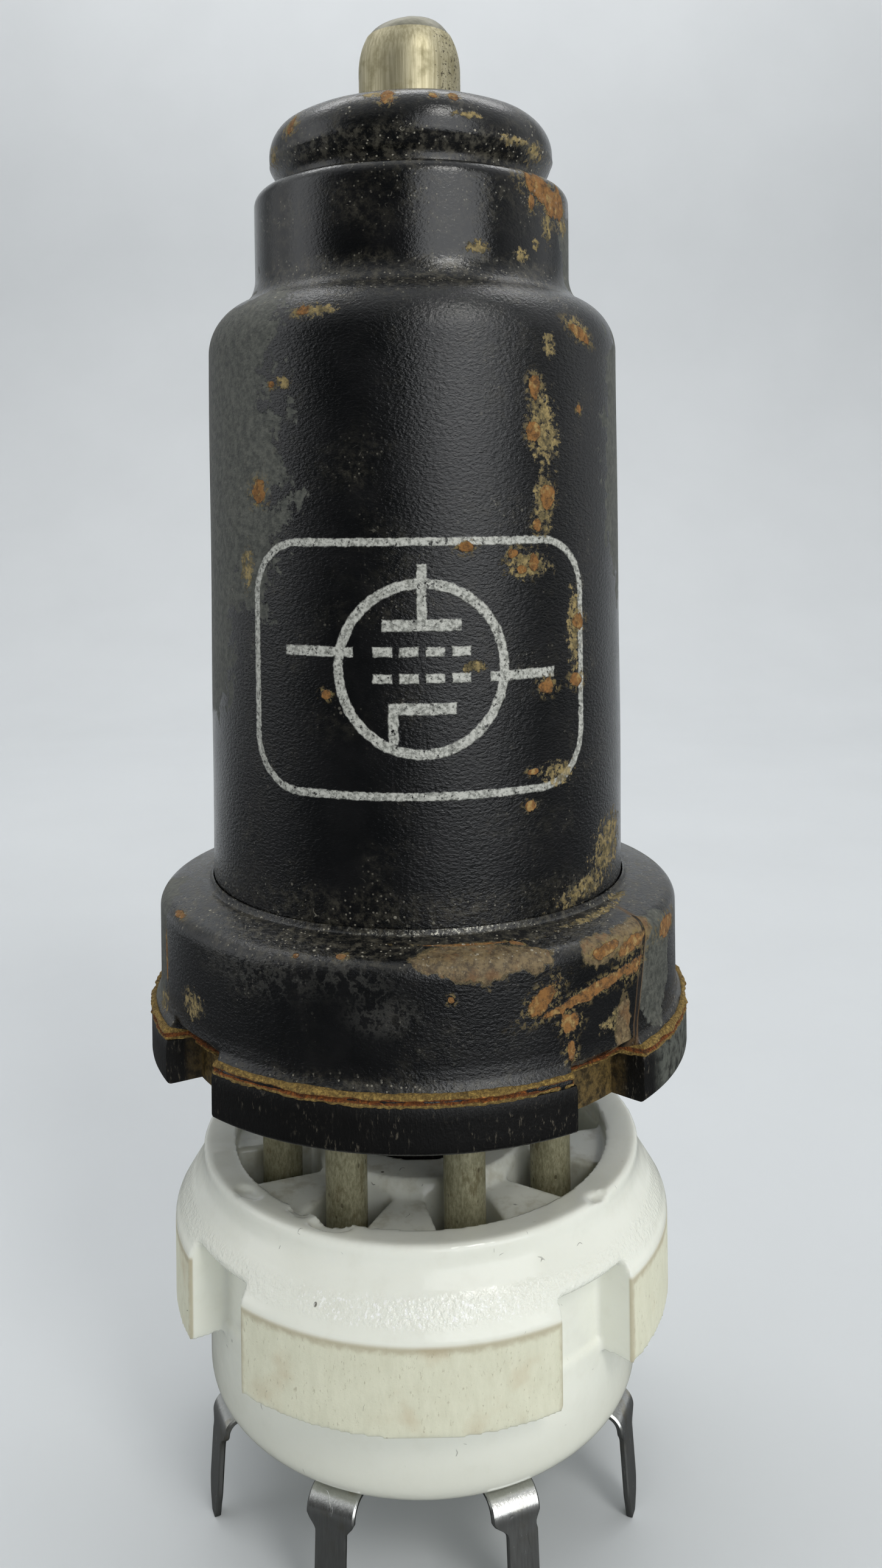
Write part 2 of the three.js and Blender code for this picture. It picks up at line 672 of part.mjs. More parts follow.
// The foot and tail seen from outside: broad shoulders, a narrower strip, then a pointed tip.
function tailFace() {
  const shoulder = TAIL.shoulderWidth / 2;
  const half = TAIL.width / 2;
  const tip = TAIL.tip / 2;
  const top = TAIL.foot + TAIL.sheet;
  const right = [
    [tip, 0],
    [half, TAIL.taper],
    [half, TAIL.shoulderEnd],
    [shoulder, TAIL.shoulderTop],
    [shoulder, top],
  ];
  const left = right.map(([x, z]) => [-x, z]).reverse();
  return prism([...right, ...left], 0, TAIL.endR + 1).rotateX(Math.PI / 2);
}

// A stamped strip: spring fingers round the pin, a spine through the ceramic, a foot and a tail.
function contactGeometry() {
  const innerR = PIN_R + CLIP.gap;
  const from = -180 + CLIP.mouth;
  const curl = sector(innerR, innerR + CLIP.sheet, from, -from, 8, CLIP.low, CLIP.high);
  const fingers = curl.translate(0, -PIN_CIRCLE_R, 0);
  const spineR = PIN_CIRCLE_R + innerR;
  const half = SPINE.half;
  const spineLow = TAIL.foot - TAIL.sheet / 2;
  const spine = radialBlock(spineR, spineR + CLIP.sheet, half, half, spineLow, SPINE.top);
  const tail = geometryOf(solid(bentStrip()).intersect(solid(tailFace())));
  return geometryOf(joined(fingers, spine, spin(tail, TAIL.turn)));
}

function contacts() {
  const geometry = contactGeometry();
  const pieces = [];
  for (let number = 1; number <= PIN_COUNT; number += 1) {
    const mesh = piece(`contact_${number}`, "tinned", geometry);
    mesh.rotation.z = radians(pinAngle(number));
    pieces.push(mesh);
  }
  return pieces;
}

// ---------------------------------------------------------------- the whole object
const socket = new THREE.Group();
socket.add(socketBody(), ...contacts());

const tube = new THREE.Group();
tube.add(envelope(), capSupport(), capInsulator(), gridCap(), capSolder(), gridLead(), ...topSeal());
tube.add(header(), exhaustTube(), baseShell(), octalBase());
for (const [name, number] of LEADS) tube.add(leadWire(name, number, LEAD.top), ...seal(number));
tube.add(leadWire("shell_lead", SHELL_PIN, HEADER.bottom - FINE_GAP));
for (const number of pinNumbers()) tube.add(basePin(number));
tube.add(gridFrame("control_grid", "nickel", GRIDS.control));
tube.add(gridFrame("screen_grid", "nickel", GRIDS.screen));
tube.add(gridFrame("suppressor_grid", "nickel", GRIDS.suppressor));
tube.add(cathodeSleeve(), heater(), plate(), mica("bottom_mica", MICA.low), mica("top_mica", MICA.high));
tube.add(mountSupport("mount_support_left", -SUPPORT.x), mountSupport("mount_support_right", SUPPORT.x));
tube.add(stemShield(), getterTab(), spacerShield());
tube.position.z = SOCKET.rimTop + RAISED;

const object = new THREE.Group();
object.add(socket, tube);

export default object;
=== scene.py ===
import json
import math

import bmesh
import bpy
import numpy as np
from mathutils import Matrix, Vector, noise


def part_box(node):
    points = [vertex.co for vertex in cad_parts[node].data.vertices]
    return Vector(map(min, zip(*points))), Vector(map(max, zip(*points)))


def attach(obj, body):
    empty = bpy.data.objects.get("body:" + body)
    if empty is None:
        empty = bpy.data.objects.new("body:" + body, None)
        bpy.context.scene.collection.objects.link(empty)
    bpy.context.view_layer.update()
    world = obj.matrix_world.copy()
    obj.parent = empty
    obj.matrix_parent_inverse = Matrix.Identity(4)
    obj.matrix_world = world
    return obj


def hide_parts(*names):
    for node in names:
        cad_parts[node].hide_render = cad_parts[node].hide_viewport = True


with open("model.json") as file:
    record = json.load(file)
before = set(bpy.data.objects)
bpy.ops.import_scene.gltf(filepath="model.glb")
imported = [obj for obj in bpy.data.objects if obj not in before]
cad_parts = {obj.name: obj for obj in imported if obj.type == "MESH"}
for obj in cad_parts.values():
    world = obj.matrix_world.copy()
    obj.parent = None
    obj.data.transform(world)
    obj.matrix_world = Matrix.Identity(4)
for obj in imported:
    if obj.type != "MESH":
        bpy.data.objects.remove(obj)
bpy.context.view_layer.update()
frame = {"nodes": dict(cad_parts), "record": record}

# A steel receiving tube part way out of its white ceramic socket.
# Lengths are millimetres until a mesh is made. Angles are degrees about the axis, from the front (-Y) to +X.

MM = 0.001
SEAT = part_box("base_shell")[0].z / MM - 2.5  # the underside of the octal base, on the frame's scale
TUBE, SOCKET = "tube", "socket"
FIRST_PIN = 16.0
PIN_PITCH = 45.0
PIN_CIRCLE = 8.73
KEY_ANGLE = 218.5
NOTCH_CENTRE, NOTCH_HALF = 38.5, 8.75
LUG_CENTRE, LUG_HALF = -5.7, 34.8
CROWN_RISE = 3.05
CROWN_EDGE = math.degrees(math.asin(2.1 / CROWN_RISE))  # where the cap ends and its solder begins


# ---------------------------------------------------------------- outlines
def arc(r, z, radius, start, end, steps, tall=None):
    """Points of a round stretch of an outline, both ends included."""
    tall = radius if tall is None else tall
    angles = np.radians(np.linspace(start, end, steps + 1))
    return [(r + radius * math.cos(a), z + tall * math.sin(a)) for a in angles]


def finer(outline, step, closed=True):
    """The same outline with no stretch longer than the step."""
    points = []
    ends = outline[1:] + outline[:1] if closed else outline[1:]
    for a, b in zip(outline, ends):
        parts = max(1, math.ceil(math.dist(a, b) / step))
        points += [(a[0] + (b[0] - a[0]) * i / parts, a[1] + (b[1] - a[1]) * i / parts) for i in range(parts)]
    return points if closed else points + [outline[-1]]


def smoothstep(x, low, high):
    t = np.clip((x - low) / (high - low), 0.0, 1.0)
    return t * t * (3 - 2 * t)


def wrapped(degrees):
    """An angle brought into -180 to 180."""
    return (np.asarray(degrees, float) + 180.0) % 360.0 - 180.0


def roughly(points, size, seed):
    """Smooth noise between -1 and 1 at each row of points."""
    offset = Vector((seed * 7.31, seed * 3.17, seed * 5.93))
    return np.array([noise.noise(Vector(p) / size + offset) for p in points])


# ---------------------------------------------------------------- meshes
def piece(name, vertices, faces, body, material, stands_for=(), crease=38.0):
    """A smooth-shaded mesh object, with its sharp edges kept, that rides on a body."""
    return dressed(temporary(name, vertices, faces), body, material, stands_for, crease)


def dressed(obj, body, material, stands_for=(), crease=38.0):
    """Cleans a mesh, shades it smooth up to the crease angle, gives it its material and body, and hides the
    CAD parts it stands for.
    """
    work = bmesh.new()
    work.from_mesh(obj.data)
    bmesh.ops.remove_doubles(work, verts=work.verts, dist=1e-7)
    bmesh.ops.dissolve_degenerate(work, dist=1e-8, edges=work.edges)
    bmesh.ops.recalc_face_normals(work, faces=work.faces)
    limit = math.radians(crease)
    for edge in work.edges:
        edge.smooth = not (len(edge.link_faces) == 2 and edge.calc_face_angle(0.0) > limit)
    for face in work.faces:
        face.smooth = True
    work.to_mesh(obj.data)
    work.free()
    obj.data.materials.clear()
    obj.data.materials.append(material)
    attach(obj, body)
    if stands_for:
        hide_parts(*stands_for)
    return obj


def turned_grid(outline, angles, shape=None):
    """Vertices and faces of a closed outline turned about the axis.

    shape(angle, r, z) may move the points: it takes and gives arrays."""
    outline = np.array(outline, float)
    a, r = np.meshgrid(np.asarray(angles, float), outline[:, 0], indexing="ij")
    z = np.tile(outline[:, 1], (len(angles), 1))
    if shape:
        r, z = shape(a, r, z)
    turn = np.radians(a)
    vertices = np.stack([r * np.sin(turn), -r * np.cos(turn), z], axis=-1).reshape(-1, 3)
    rows, columns = len(angles), len(outline)
    faces = []
    for i in range(rows):
        k = (i + 1) % rows
        for j in range(columns):
            n = (j + 1) % columns
            if outline[j, 0] < 1e-9 and outline[n, 0] < 1e-9:
                continue
            faces.append((i * columns + j, k * columns + j, k * columns + n, i * columns + n))
    return vertices, faces


def evenly(count):
    return np.arange(count) * 360.0 / count


def lift(outline):
    """An outline given on the tube's own datum, moved to the frame's heights."""
    return [(r, z + SEAT) for r, z in outline]


def box_mesh(name, low, high, half_low, half_high, bottom, top):
    """A temporary radial block towards the front, from one radius to another."""
    corners = [(-half_low, -low), (-half_high, -high), (half_high, -high), (half_low, -low)]
    vertices = [(x, y, z) for z in (bottom, top) for x, y in corners]
    faces = [(3, 2, 1, 0), (4, 5, 6, 7)] + [(i, (i + 1) % 4, 4 + (i + 1) % 4, 4 + i) for i in range(4)]
    return temporary(name, vertices, faces)


def skin(rows, count):
    """Faces of a closed tube through rows of points, with both ends capped."""
    faces = []
    for i in range(rows - 1):
        for j in range(count):
            n = (j + 1) % count
            faces.append((i * count + j, (i + 1) * count + j, (i + 1) * count + n, i * count + n))
    return faces + [tuple(range(count)), tuple(range((rows - 1) * count, rows * count))[::-1]]


def sector_mesh(name, outline, start, end, steps):
    """A temporary part of a ring: an outline carried round the axis from one angle to another."""
    vertices = []
    for turn in np.radians(np.linspace(start, end, steps + 1)):
        vertices += [(r * math.sin(turn), -r * math.cos(turn), z) for r, z in outline]
    return temporary(name, vertices, skin(steps + 1, len(outline)))


def temporary(name, vertices, faces):
    """A plain mesh object, to be worked on or dressed."""
    mesh = bpy.data.meshes.new(name)
    mesh.from_pydata((np.asarray(vertices, float) * MM).tolist(), [], faces)
    work = bmesh.new()
    work.from_mesh(mesh)
    bmesh.ops.remove_doubles(work, verts=work.verts, dist=1e-7)
    bmesh.ops.recalc_face_normals(work, faces=work.faces)
    work.to_mesh(mesh)
    work.free()
    obj = bpy.data.objects.new(name, mesh)
    bpy.context.scene.collection.objects.link(obj)
    return obj


def spun(obj, degrees):
    obj.data.transform(Matrix.Rotation(math.radians(degrees), 4, "Z"))
    return obj


def baked(obj):
    """Applies an object's modifiers to its mesh."""
    bpy.context.view_layer.update()
    mesh = bpy.data.meshes.new_from_object(obj.evaluated_get(bpy.context.evaluated_depsgraph_get()))
    obj.modifiers.clear()
    obj.data = mesh
    return obj


def combined(obj, others, operation):
    """A boolean with a list of temporary objects, which are removed."""
    group = bpy.data.collections.new(obj.name + "_tools")
    bpy.context.scene.collection.children.link(group)
    for other in others:
        bpy.context.scene.collection.objects.unlink(other)
        group.objects.link(other)
    modifier = obj.modifiers.new("combine", "BOOLEAN")
    modifier.operation = operation
    modifier.operand_type = "COLLECTION"
    modifier.collection = group
    modifier.solver = "EXACT"
    baked(obj)
    for other in others:
        bpy.data.objects.remove(other)
    bpy.data.collections.remove(group)
    return obj


# ---------------------------------------------------------------- node materials
def shade(red, green, blue):
    """A colour as the eye reads it, 0 to 255, as linear light."""
    def linear(value):
        c = value / 255.0
        return c / 12.92 if c <= 0.04045 else ((c + 0.055) / 1.055) ** 2.4
    return (linear(red), linear(green), linear(blue), 1.0)


class Term:
    """A number inside a material's nodes, with ordinary arithmetic."""

    def __init__(self, surface, socket):
        self.surface, self.socket = surface, socket

    def __add__(self, other):
        return self.surface.math("ADD", self, other)

    def __sub__(self, other):
        return self.surface.math("SUBTRACT", self, other)

    def __rsub__(self, other):
        return self.surface.math("SUBTRACT", other, self)

    def __mul__(self, other):
        return self.surface.math("MULTIPLY", self, other)

    def __truediv__(self, other):
        return self.surface.math("DIVIDE", self, other)

    __radd__, __rmul__ = __add__, __mul__


class Surface:
    """One node material. Its places are millimetres, with heights above the given datum."""

    def __init__(self, name, datum=0.0):
        self.material = bpy.data.materials.new(name)
        self.material.use_nodes = True
        self.tree = self.material.node_tree
        self.shader = self.tree.nodes["Principled BSDF"]
        coordinates = self.node("ShaderNodeTexCoord").outputs["Object"]
        scaled = self.node("ShaderNodeVectorMath", [coordinates, (1 / MM,) * 3], operation="MULTIPLY")
        moved = self.node("ShaderNodeVectorMath", [scaled.outputs[0], (0, 0, -datum)], operation="ADD")
        self.place = moved.outputs[0]
        split = self.node("ShaderNodeSeparateXYZ", [self.place])
        self.x, self.y, self.z = (Term(self, output) for output in split.outputs)
        self.radius = self.math("SQRT", self.x * self.x + self.y * self.y)
        self.angle = self.math("DEGREES", self.math("ARCTAN2", self.x, self.y * -1.0))

    def node(self, kind, inputs=(), **settings):
        made = self.tree.nodes.new(kind)
        for key, value in settings.items():
            setattr(made, key, value)
        pairs = inputs.items() if isinstance(inputs, dict) else enumerate(inputs)
        for key, value in pairs:
            self.feed(made.inputs[key], value)
        return made

    def feed(self, socket, value):
        if isinstance(value, Term):
            value = value.socket
        if isinstance(value, bpy.types.NodeSocket):
            self.tree.links.new(value, socket)
        else:
            socket.default_value = value

    def math(self, operation, a, b=None):
        values = [a] if b is None else [a, b]
        return Term(self, self.node("ShaderNodeMath", values, operation=operation).outputs[0])

    def smooth(self, value, low, high):
        """0 at low and 1 at high, with an easy curve between."""
        if low > high:
            return 1.0 - self.smooth(value, high, low)
        made = self.node("ShaderNodeMapRange", [value, low, high], interpolation_type="SMOOTHSTEP")
        return Term(self, made.outputs[0])

    def lookup(self, size, stretch, seed):
        """The place, divided by a feature size, stretched, and moved to its own corner of the noise."""
        factors = tuple(s / size for s in stretch)
        offset = (seed * 3.7 + 0.5, seed * 5.3 + 0.5, seed * 2.9 + 0.5)
        mapping = {"Vector": self.place, "Scale": factors, "Location": offset}
        return self.node("ShaderNodeMapping", mapping).outputs[0]

    def noise(self, size, seed=0, detail=2.0, rough=0.5, stretch=(1, 1, 1), distortion=0.0):
        inputs = {"Vector": self.lookup(size, stretch, seed), "Scale": 1.0, "Detail": detail}
        inputs.update({"Roughness": rough, "Distortion": distortion})
        return Term(self, self.node("ShaderNodeTexNoise", inputs).outputs["Fac"])

    def cells(self, size, seed=0, stretch=(1, 1, 1), feature="F1", output="Distance"):
        inputs = {"Vector": self.lookup(size, stretch, seed), "Scale": 1.0}
        made = self.node("ShaderNodeTexVoronoi", inputs, feature=feature)
        if output == "Random":
            return Term(self, self.node("ShaderNodeSeparateColor", [made.outputs["Color"]]).outputs[0])
        return Term(self, made.outputs["Distance"])

    def specks(self, size, share, radius, seed=0, stretch=(1, 1, 1)):
        """Small scattered dots: a share of the cells hold one."""
        near = self.cells(size, seed, stretch)
        chosen = self.cells(size, seed, stretch, output="Random")
        return self.smooth(near, radius, radius * 0.55) * self.smooth(chosen, share, share * 0.9)

    def fibres(self, size, amount, seed=0, stretch=(1, 1, 1)):
        """Short curved hairs: thin contour lines of a noise, broken up by a second one."""
        line = self.math("ABSOLUTE", self.noise(size, seed, 1.0, stretch=stretch) - 0.5)
        kept = self.smooth(self.noise(size * 0.8, seed + 11, 1.0), 1 - amount, 1 - amount + 0.06)
        return self.smooth(line, 0.012, 0.004) * kept

    def mix(self, factor, a, b):
        """Blends two colours."""
        made = self.node("ShaderNodeMix", data_type="RGBA")
        self.feed(made.inputs["Factor"], factor)
        self.feed(made.inputs[6], a)
        self.feed(made.inputs[7], b)
        return made.outputs[2]

    def blend(self, factor, a, b):
        """Blends two numbers."""
        made = self.node("ShaderNodeMix", data_type="FLOAT")
        for key, value in zip((0, 2, 3), (factor, a, b)):
            self.feed(made.inputs[key], value)
        return Term(self, made.outputs[0])

    def unroll(self, radius, along):
        """Lays the turned surface out flat: millimetres round it at this radius, and millimetres along it."""
        self.flat_radius = radius
        around = self.angle * math.radians(radius)
        self.flat = self.node("ShaderNodeCombineXYZ", [around, along, 0.0]).outputs[0]

    def along_axis(self, axis):
        """The laid-out place measured along an axis."""
        made = self.node("ShaderNodeVectorMath", [self.flat, axis], operation="DOT_PRODUCT")
        return Term(self, made.outputs["Value"])

    def nearest(self, blots):
        """Distance to the closest of some blots, 1 on its outline.

        A blot is an angle, a place along the surface, a half width, a half height and perhaps a tilt."""
        closest = None
        for angle, height, half_width, half_height, *tilt in blots:
            lean = Matrix.Rotation(math.radians(tilt[0] if tilt else 0), 3, "Z")
            middle = Vector((math.radians(angle) * self.flat_radius, height, 0))
            square = None
            for axis in (lean @ Vector((1 / half_width, 0, 0)), lean @ Vector((0, 1 / half_height, 0))):
                offset = self.along_axis(axis) - middle.dot(axis)
                square = offset * offset if square is None else square + offset * offset
            closest = square if closest is None else self.math("MINIMUM", closest, square)
        return self.math("SQRT", closest)

    def most(self, masks):
        total = masks[0]
        for mask in masks[1:]:
            total = self.math("MAXIMUM", total, mask)
        return total

    def bump(self, height):
        """Relief in millimetres."""
        made = self.node("ShaderNodeBump", {"Height": height, "Distance": MM, "Strength": 1.0})
        self.feed(self.shader.inputs["Normal"], made.outputs[0])

    def finish(self, **values):
        """Feeds the shader's inputs, named with underscores, and gives the material."""
        for key, value in values.items():
            self.feed(self.shader.inputs[key.replace("_", " ")], value)
        return self.material


class Coat:
    """A surface's layers as they build up: its colour, roughness, metalness and relief."""

    def __init__(self, surface, colour, rough, metal, height):
        self.s, self.colour, self.rough, self.metal, self.height = surface, colour, rough, metal, height

    def lay(self, mask, colour, rough, metal=0.0, raised=0.0):
        self.colour = self.s.mix(mask, self.colour, colour)
        self.rough = self.s.blend(mask, self.rough, rough)
        self.metal = self.s.blend(mask, self.metal, metal)
        if raised:
            self.height = self.height + mask * raised


def faded(coat, near, ragged):
    """Paint gone grey and dull, with a crisp ragged edge."""
    s = coat.s
    mask = s.smooth(near + ragged * 0.45, 1.03, 0.97)
    tone = s.mix(s.smooth(s.noise(0.4, 22, 5.0, 0.75), 0.35, 0.65), shade(54, 56, 51), shade(88, 89, 81))
    coat.lay(mask, tone, 0.58, raised=-0.015)


def hazed(coat, near, ragged):
    """A thin pale bloom in lace-like wisps."""
    s = coat.s
    cover = s.smooth(near, 1.2, 0.3)
    wisps = s.smooth(s.math("ABSOLUTE", s.noise(1.1, 41, 4.0, 0.7) - 0.5), 0.07, 0.0)
    coat.lay(cover * wisps * 0.12, shade(128, 126, 118), 0.6)


def stained(coat, near, ragged):
    """Rust showing through as a mottle of olive and straw specks."""
    s = coat.s
    cover = s.smooth(near, 1.3, 0.25)
    grain = s.noise(0.34, 81, 5.0, 0.72) + cover * 0.24
    mask = s.smooth(grain, 0.63, 0.73) * s.smooth(cover, 0.02, 0.2)
    tone = s.mix(s.smooth(s.noise(0.5, 82, 4.0, 0.7), 0.36, 0.64), shade(84, 74, 44), shade(160, 140, 90))
    coat.lay(mask * 0.85, tone, 0.85, raised=0.02)


def stripped(coat, near, ragged):
    """Paint lost down to brown primed steel, with a step at its edge."""
    s = coat.s
    reach = near + ragged * 0.75
    mask = s.smooth(reach, 1.02, 0.98)
    tone = s.mix(s.smooth(s.noise(0.45, 101, 5.0, 0.8), 0.36, 0.62), shade(64, 50, 30), shade(118, 100, 68))
    tone = s.mix(s.smooth(s.noise(0.22, 102, 3.0, 0.7), 0.60, 0.68) * 0.5, tone, shade(152, 138, 108))
    tone = s.mix(s.smooth(s.noise(1.1, 104, 3.0, 0.6), 0.52, 0.66) * 0.5, tone, shade(116, 80, 42))
    tone = s.mix(s.smooth(s.noise(0.3, 103, 3.0, 0.7), 0.40, 0.30) * 0.8, tone, shade(48, 36, 24))
    coat.lay(mask, tone, 0.66, raised=-0.06)
    coat.lay(s.smooth(reach, 1.14, 1.04) * s.smooth(reach, 0.96, 1.02) * 0.5, shade(120, 104, 66), 0.7)


def cracked(coat, near, ragged):
    """A dark split in the paint with rust along its lips."""
    s = coat.s
    line = near + ragged * 0.5
    coat.lay(s.smooth(line, 2.2, 1.2) * 0.6, shade(108, 80, 44), 0.85)
    coat.lay(s.smooth(line, 1.25, 0.9), shade(16, 12, 9), 0.9, raised=-0.1)


def rusted(coat, near, ragged):
    """A raised crust of ochre and brown rust, thinning to specks."""
    s = coat.s
    reach = near + ragged * 0.9
    mask = s.smooth(reach, 1.06, 0.9)
    halo = s.smooth(near, 2.2, 0.9) * s.smooth(s.noise(0.3, 123, 4.0, 0.7), 0.50, 0.58)
    coat.lay(halo * 0.75, shade(128, 110, 62), 0.85, raised=0.01)
    tone = s.mix(s.smooth(s.noise(0.35, 121, 5.0, 0.75), 0.36, 0.58), RUST_DARK, RUST)
    tone = s.mix(s.smooth(s.noise(0.6, 124, 3.0, 0.6), 0.52, 0.70), tone, OCHRE)
    coat.lay(mask, tone, 0.93, raised=0.03)
    coat.height = coat.height + mask * s.noise(0.22, 122, 4.0, 0.7) * 0.12


def dusted(coat, bands, amount):
    """Grains and fibres of dust, thickest on ledges and in grooves."""
    s = coat.s
    normal = s.node("ShaderNodeSeparateXYZ", [s.node("ShaderNodeNewGeometry").outputs["Normal"]])
    ledge = s.smooth(Term(s, normal.outputs[2]), 0.25, 0.95)
    where = s.noise(3.0, 140, 3.0) * 0.8 + ledge * 0.3 + (0.06 + amount)
    for low, high, strength in bands:
        middle, half = (low + high) / 2, (high - low) / 2
        where = where + s.smooth(s.math("ABSOLUTE", s.z - middle) / half, 1.0, 0.2) * strength
    here = s.smooth(where, 0.40, 1.0)
    film = s.smooth(s.noise(0.5, 144, 5.0, 0.75), 0.42, 0.70) * here
    coat.lay(film * 0.35, shade(126, 120, 102), 0.8)
    grains = s.math("MAXIMUM", s.specks(0.24, 0.30, 0.28, 141) * 0.55, s.specks(0.7, 0.20, 0.15, 142) * 0.8)
    hairs = s.fibres(0.8, 0.34, 143)
    coat.lay(s.math("MAXIMUM", grains, hairs * 0.55) * here, DUST, 0.9, raised=0.02)


def painted_lip_glint(coat):
    """A painted glint: bright steel grains along the front of the skirt's inner lip, where the light catches
    it.
    """
    s = coat.s
    # Painted highlight, kept to the lip and to the front.
    lip = s.smooth(s.radius, 12.98, 12.9) * s.smooth(s.z, 9.7, 9.85)
    front = s.smooth(s.math("ABSOLUTE", s.angle - 4.0), 30.0, 8.0)
    grain = s.smooth(s.noise(0.18, 151, 4.0, 0.7) + front * 0.08, 0.60, 0.68)
    coat.lay(lip * grain, shade(150, 148, 138), 0.35, metal=0.8)


BLACK = shade(5, 6, 7)
BLACK_WORN = shade(14, 14, 15)
DUST = shade(186, 180, 162)
RUST_DARK = shade(84, 58, 30)
RUST = shade(138, 96, 48)
OCHRE = shade(162, 134, 82)
INK = shade(186, 186, 178)
# The kinds of wear in the order in which they are laid. The ink mark lies under the later ones.
WEAR = {"faded": faded, "haze": hazed, "ink": None, "stain": stained, "bare": stripped,
        "crack": cracked, "rust": rusted}


def painted(name, wear, gloss=0.19, radius=12.5, along=None, bands=(), amount=0.0, ink=False,
            last=None):
    """Old satin black paint with a fine leathery relief and its wear, a list of blots for each kind.

    along gives the place along the outline, and last a layer that is laid over everything else."""
    s = Surface(name, SEAT)
    s.unroll(radius, along(s) if along else s.z)
    ragged = (s.noise(1.8, 4, 3.0, 0.6) - 0.5) * 2.0 + (s.noise(0.5, 3, 4.0, 0.7) - 0.5) * 1.4
    cloud = s.smooth(s.noise(3.0, 2, 4.0, 0.6), 0.35, 0.7)
    calm = 1.0 - s.smooth(s.z, 44.8, 45.8) * 0.55
    peel = s.noise(0.2, 1, 3.0, 0.6, stretch=(0.9, 0.9, 1.5)) * calm * 0.048
    rough = s.blend(cloud, gloss, gloss + 0.07) * (0.6 + calm * 0.4)
    coat = Coat(s, s.mix(cloud, BLACK, BLACK_WORN), rough, 0.0, peel)
    for kind, treat in WEAR.items():
        if kind == "ink" and ink:
            tone = s.mix(s.smooth(s.noise(0.22, 61, 3.0, 0.7), 0.35, 0.6), shade(120, 121, 114), INK)
            coat.lay(ink_mask(s), tone, 0.42, raised=0.02)
        elif kind in wear:
            treat(coat, s.nearest(wear[kind]), ragged)
    dusted(coat, bands, amount)
    if last:
        last(coat)
    s.bump(coat.height)
    return s.finish(Base_Color=coat.colour, Roughness=coat.rough, Metallic=coat.metal, Specular_IOR_Level=0.5)


def ink_mask(s):
    """The silver ink mark: a round-cornered frame with a plain circuit sign for a valve inside it."""
    middle_angle, middle_z, shell_r = 1.5, 23.7, 12.52
    half_wide, half_tall, corner = 9.9, 6.7, 3.0
    stroke, circle_r, circle_stroke = 0.2, 4.5, 0.26
    u = (s.angle - middle_angle) * (math.radians(1) * shell_r)
    v = s.z - middle_z
    wobble = (s.noise(0.35, 160, 3.0, 0.6) - 0.5) * 0.22

    def line(distance, half=stroke):
        return s.smooth(s.math("ABSOLUTE", distance) + wobble, half + 0.05, half - 0.04)

    def bar(cu, cv, half_u, half_v):
        across = s.math("ABSOLUTE", u - cu) - half_u
        along = s.math("ABSOLUTE", v - cv) - half_v
        return s.smooth(s.math("MAXIMUM", across, along) + wobble, 0.05, -0.04)

    qu = s.math("MAXIMUM", s.math("ABSOLUTE", u) - (half_wide - corner), 0.0)
    qv = s.math("MAXIMUM", s.math("ABSOLUTE", v) - (half_tall - corner), 0.0)
    frame_line = line(s.math("SQRT", qu * qu + qv * qv) - corner)
    circle = line(s.math("SQRT", u * u + v * v) - circle_r, circle_stroke)
    parts = [frame_line, circle, bar(0, 2.3, 2.1, 0.3), bar(0, 3.9, 0.26, 1.6)]
    parts += [bar(x, y, 0.5, 0.24) for x in (-2.1, -0.7, 0.7, 2.1) for y in (0.9, -0.5)]
    parts += [bar(0, -2.1, 1.8, 0.3), bar(-1.55, -3.0, 0.26, 1.0)]
    parts += [bar(side * 5.7, height, 2.0, 0.25) for side, height in ((-1, 0.9), (1, -0.5))]
    worn = s.smooth(s.noise(0.26, 161, 3.0, 0.7), 0.30, 0.46)
    return s.most(parts) * worn


# ---------------------------------------------------------------- the materials
def envelope_paint():
    """The shell: grey fading on its left, a straw-coloured streak on its right, and small rust spots."""
    wear = {
        "faded": [(-86, 34, 11.4, 11.0, 5), (-58, 41.2, 5.6, 2.8, 24), (-78, 24.5, 5.0, 4.0, -25),
                  (84, 47.0, 4.0, 3.4), (88, 35.0, 6.0, 9.0)],
        "stain": [(34, 36.4, 1.3, 2.8, 8), (34, 32.4, 0.9, 2.2), (48, 42.0, 1.5, 0.9, -20),
                  (36, 41.0, 0.6, 0.9), (61, 12.6, 3.0, 2.0, 25), (48, 10.9, 3.4, 0.8, 8),
                  (29, 29.0, 1.9, 0.9), (44, 25.4, 0.7, 2.8), (-25, 42.8, 1.6, 0.5), (-34, 39.1, 0.7, 0.5),
                  (54, 48.3, 0.9, 1.3, 12), (68, 48.8, 1.5, 0.9), (47, 47.2, 0.5, 0.5),
                  (22, 46.6, 1.4, 0.5), (40, 46.4, 0.9, 0.5), (14, 23.8, 0.9, 0.4), (-48, 29.0, 0.7, 1.6),
                  (38, 17.6, 1.6, 0.9)],
        "rust": [(-43.2, 33.1, 0.62, 0.62), (31.5, 38.6, 0.42, 0.62), (31, 36.2, 0.4, 0.5),
                 (35.4, 32.7, 0.45, 0.6), (31.7, 31.2, 0.3, 0.4), (25, 29.7, 0.4, 0.3),
                 (30.6, 29.2, 0.3, 0.55), (27.2, 28.8, 0.3, 0.25), (45.6, 25.8, 0.5, 0.45),
                 (34.7, 22.4, 0.55, 0.4), (45, 22.6, 0.5, 0.4), (12.3, 30.1, 0.45, 0.3),
                 (47.2, 37.6, 0.22, 0.25), (-28.6, 42.85, 0.5, 0.3), (48, 41.9, 1.0, 0.4, -22),
                 (30, 17.9, 0.35, 0.2), (29, 16.1, 0.35, 0.25), (51, 50.5, 1.9, 0.75, -10),
                 (60, 49.9, 1.5, 0.9), (45, 49.6, 0.4, 0.5), (-38, 39.0, 0.25, 0.2),
                 (-22.5, 22.3, 0.3, 0.25), (62, 50.6, 0.5, 0.7)],
    }
    bands = [(9.5, 12.5, 0.22), (44.2, 46.8, 0.32), (46.5, 51.5, 0.12)]
    return painted("envelope_paint", wear, bands=bands, ink=True)


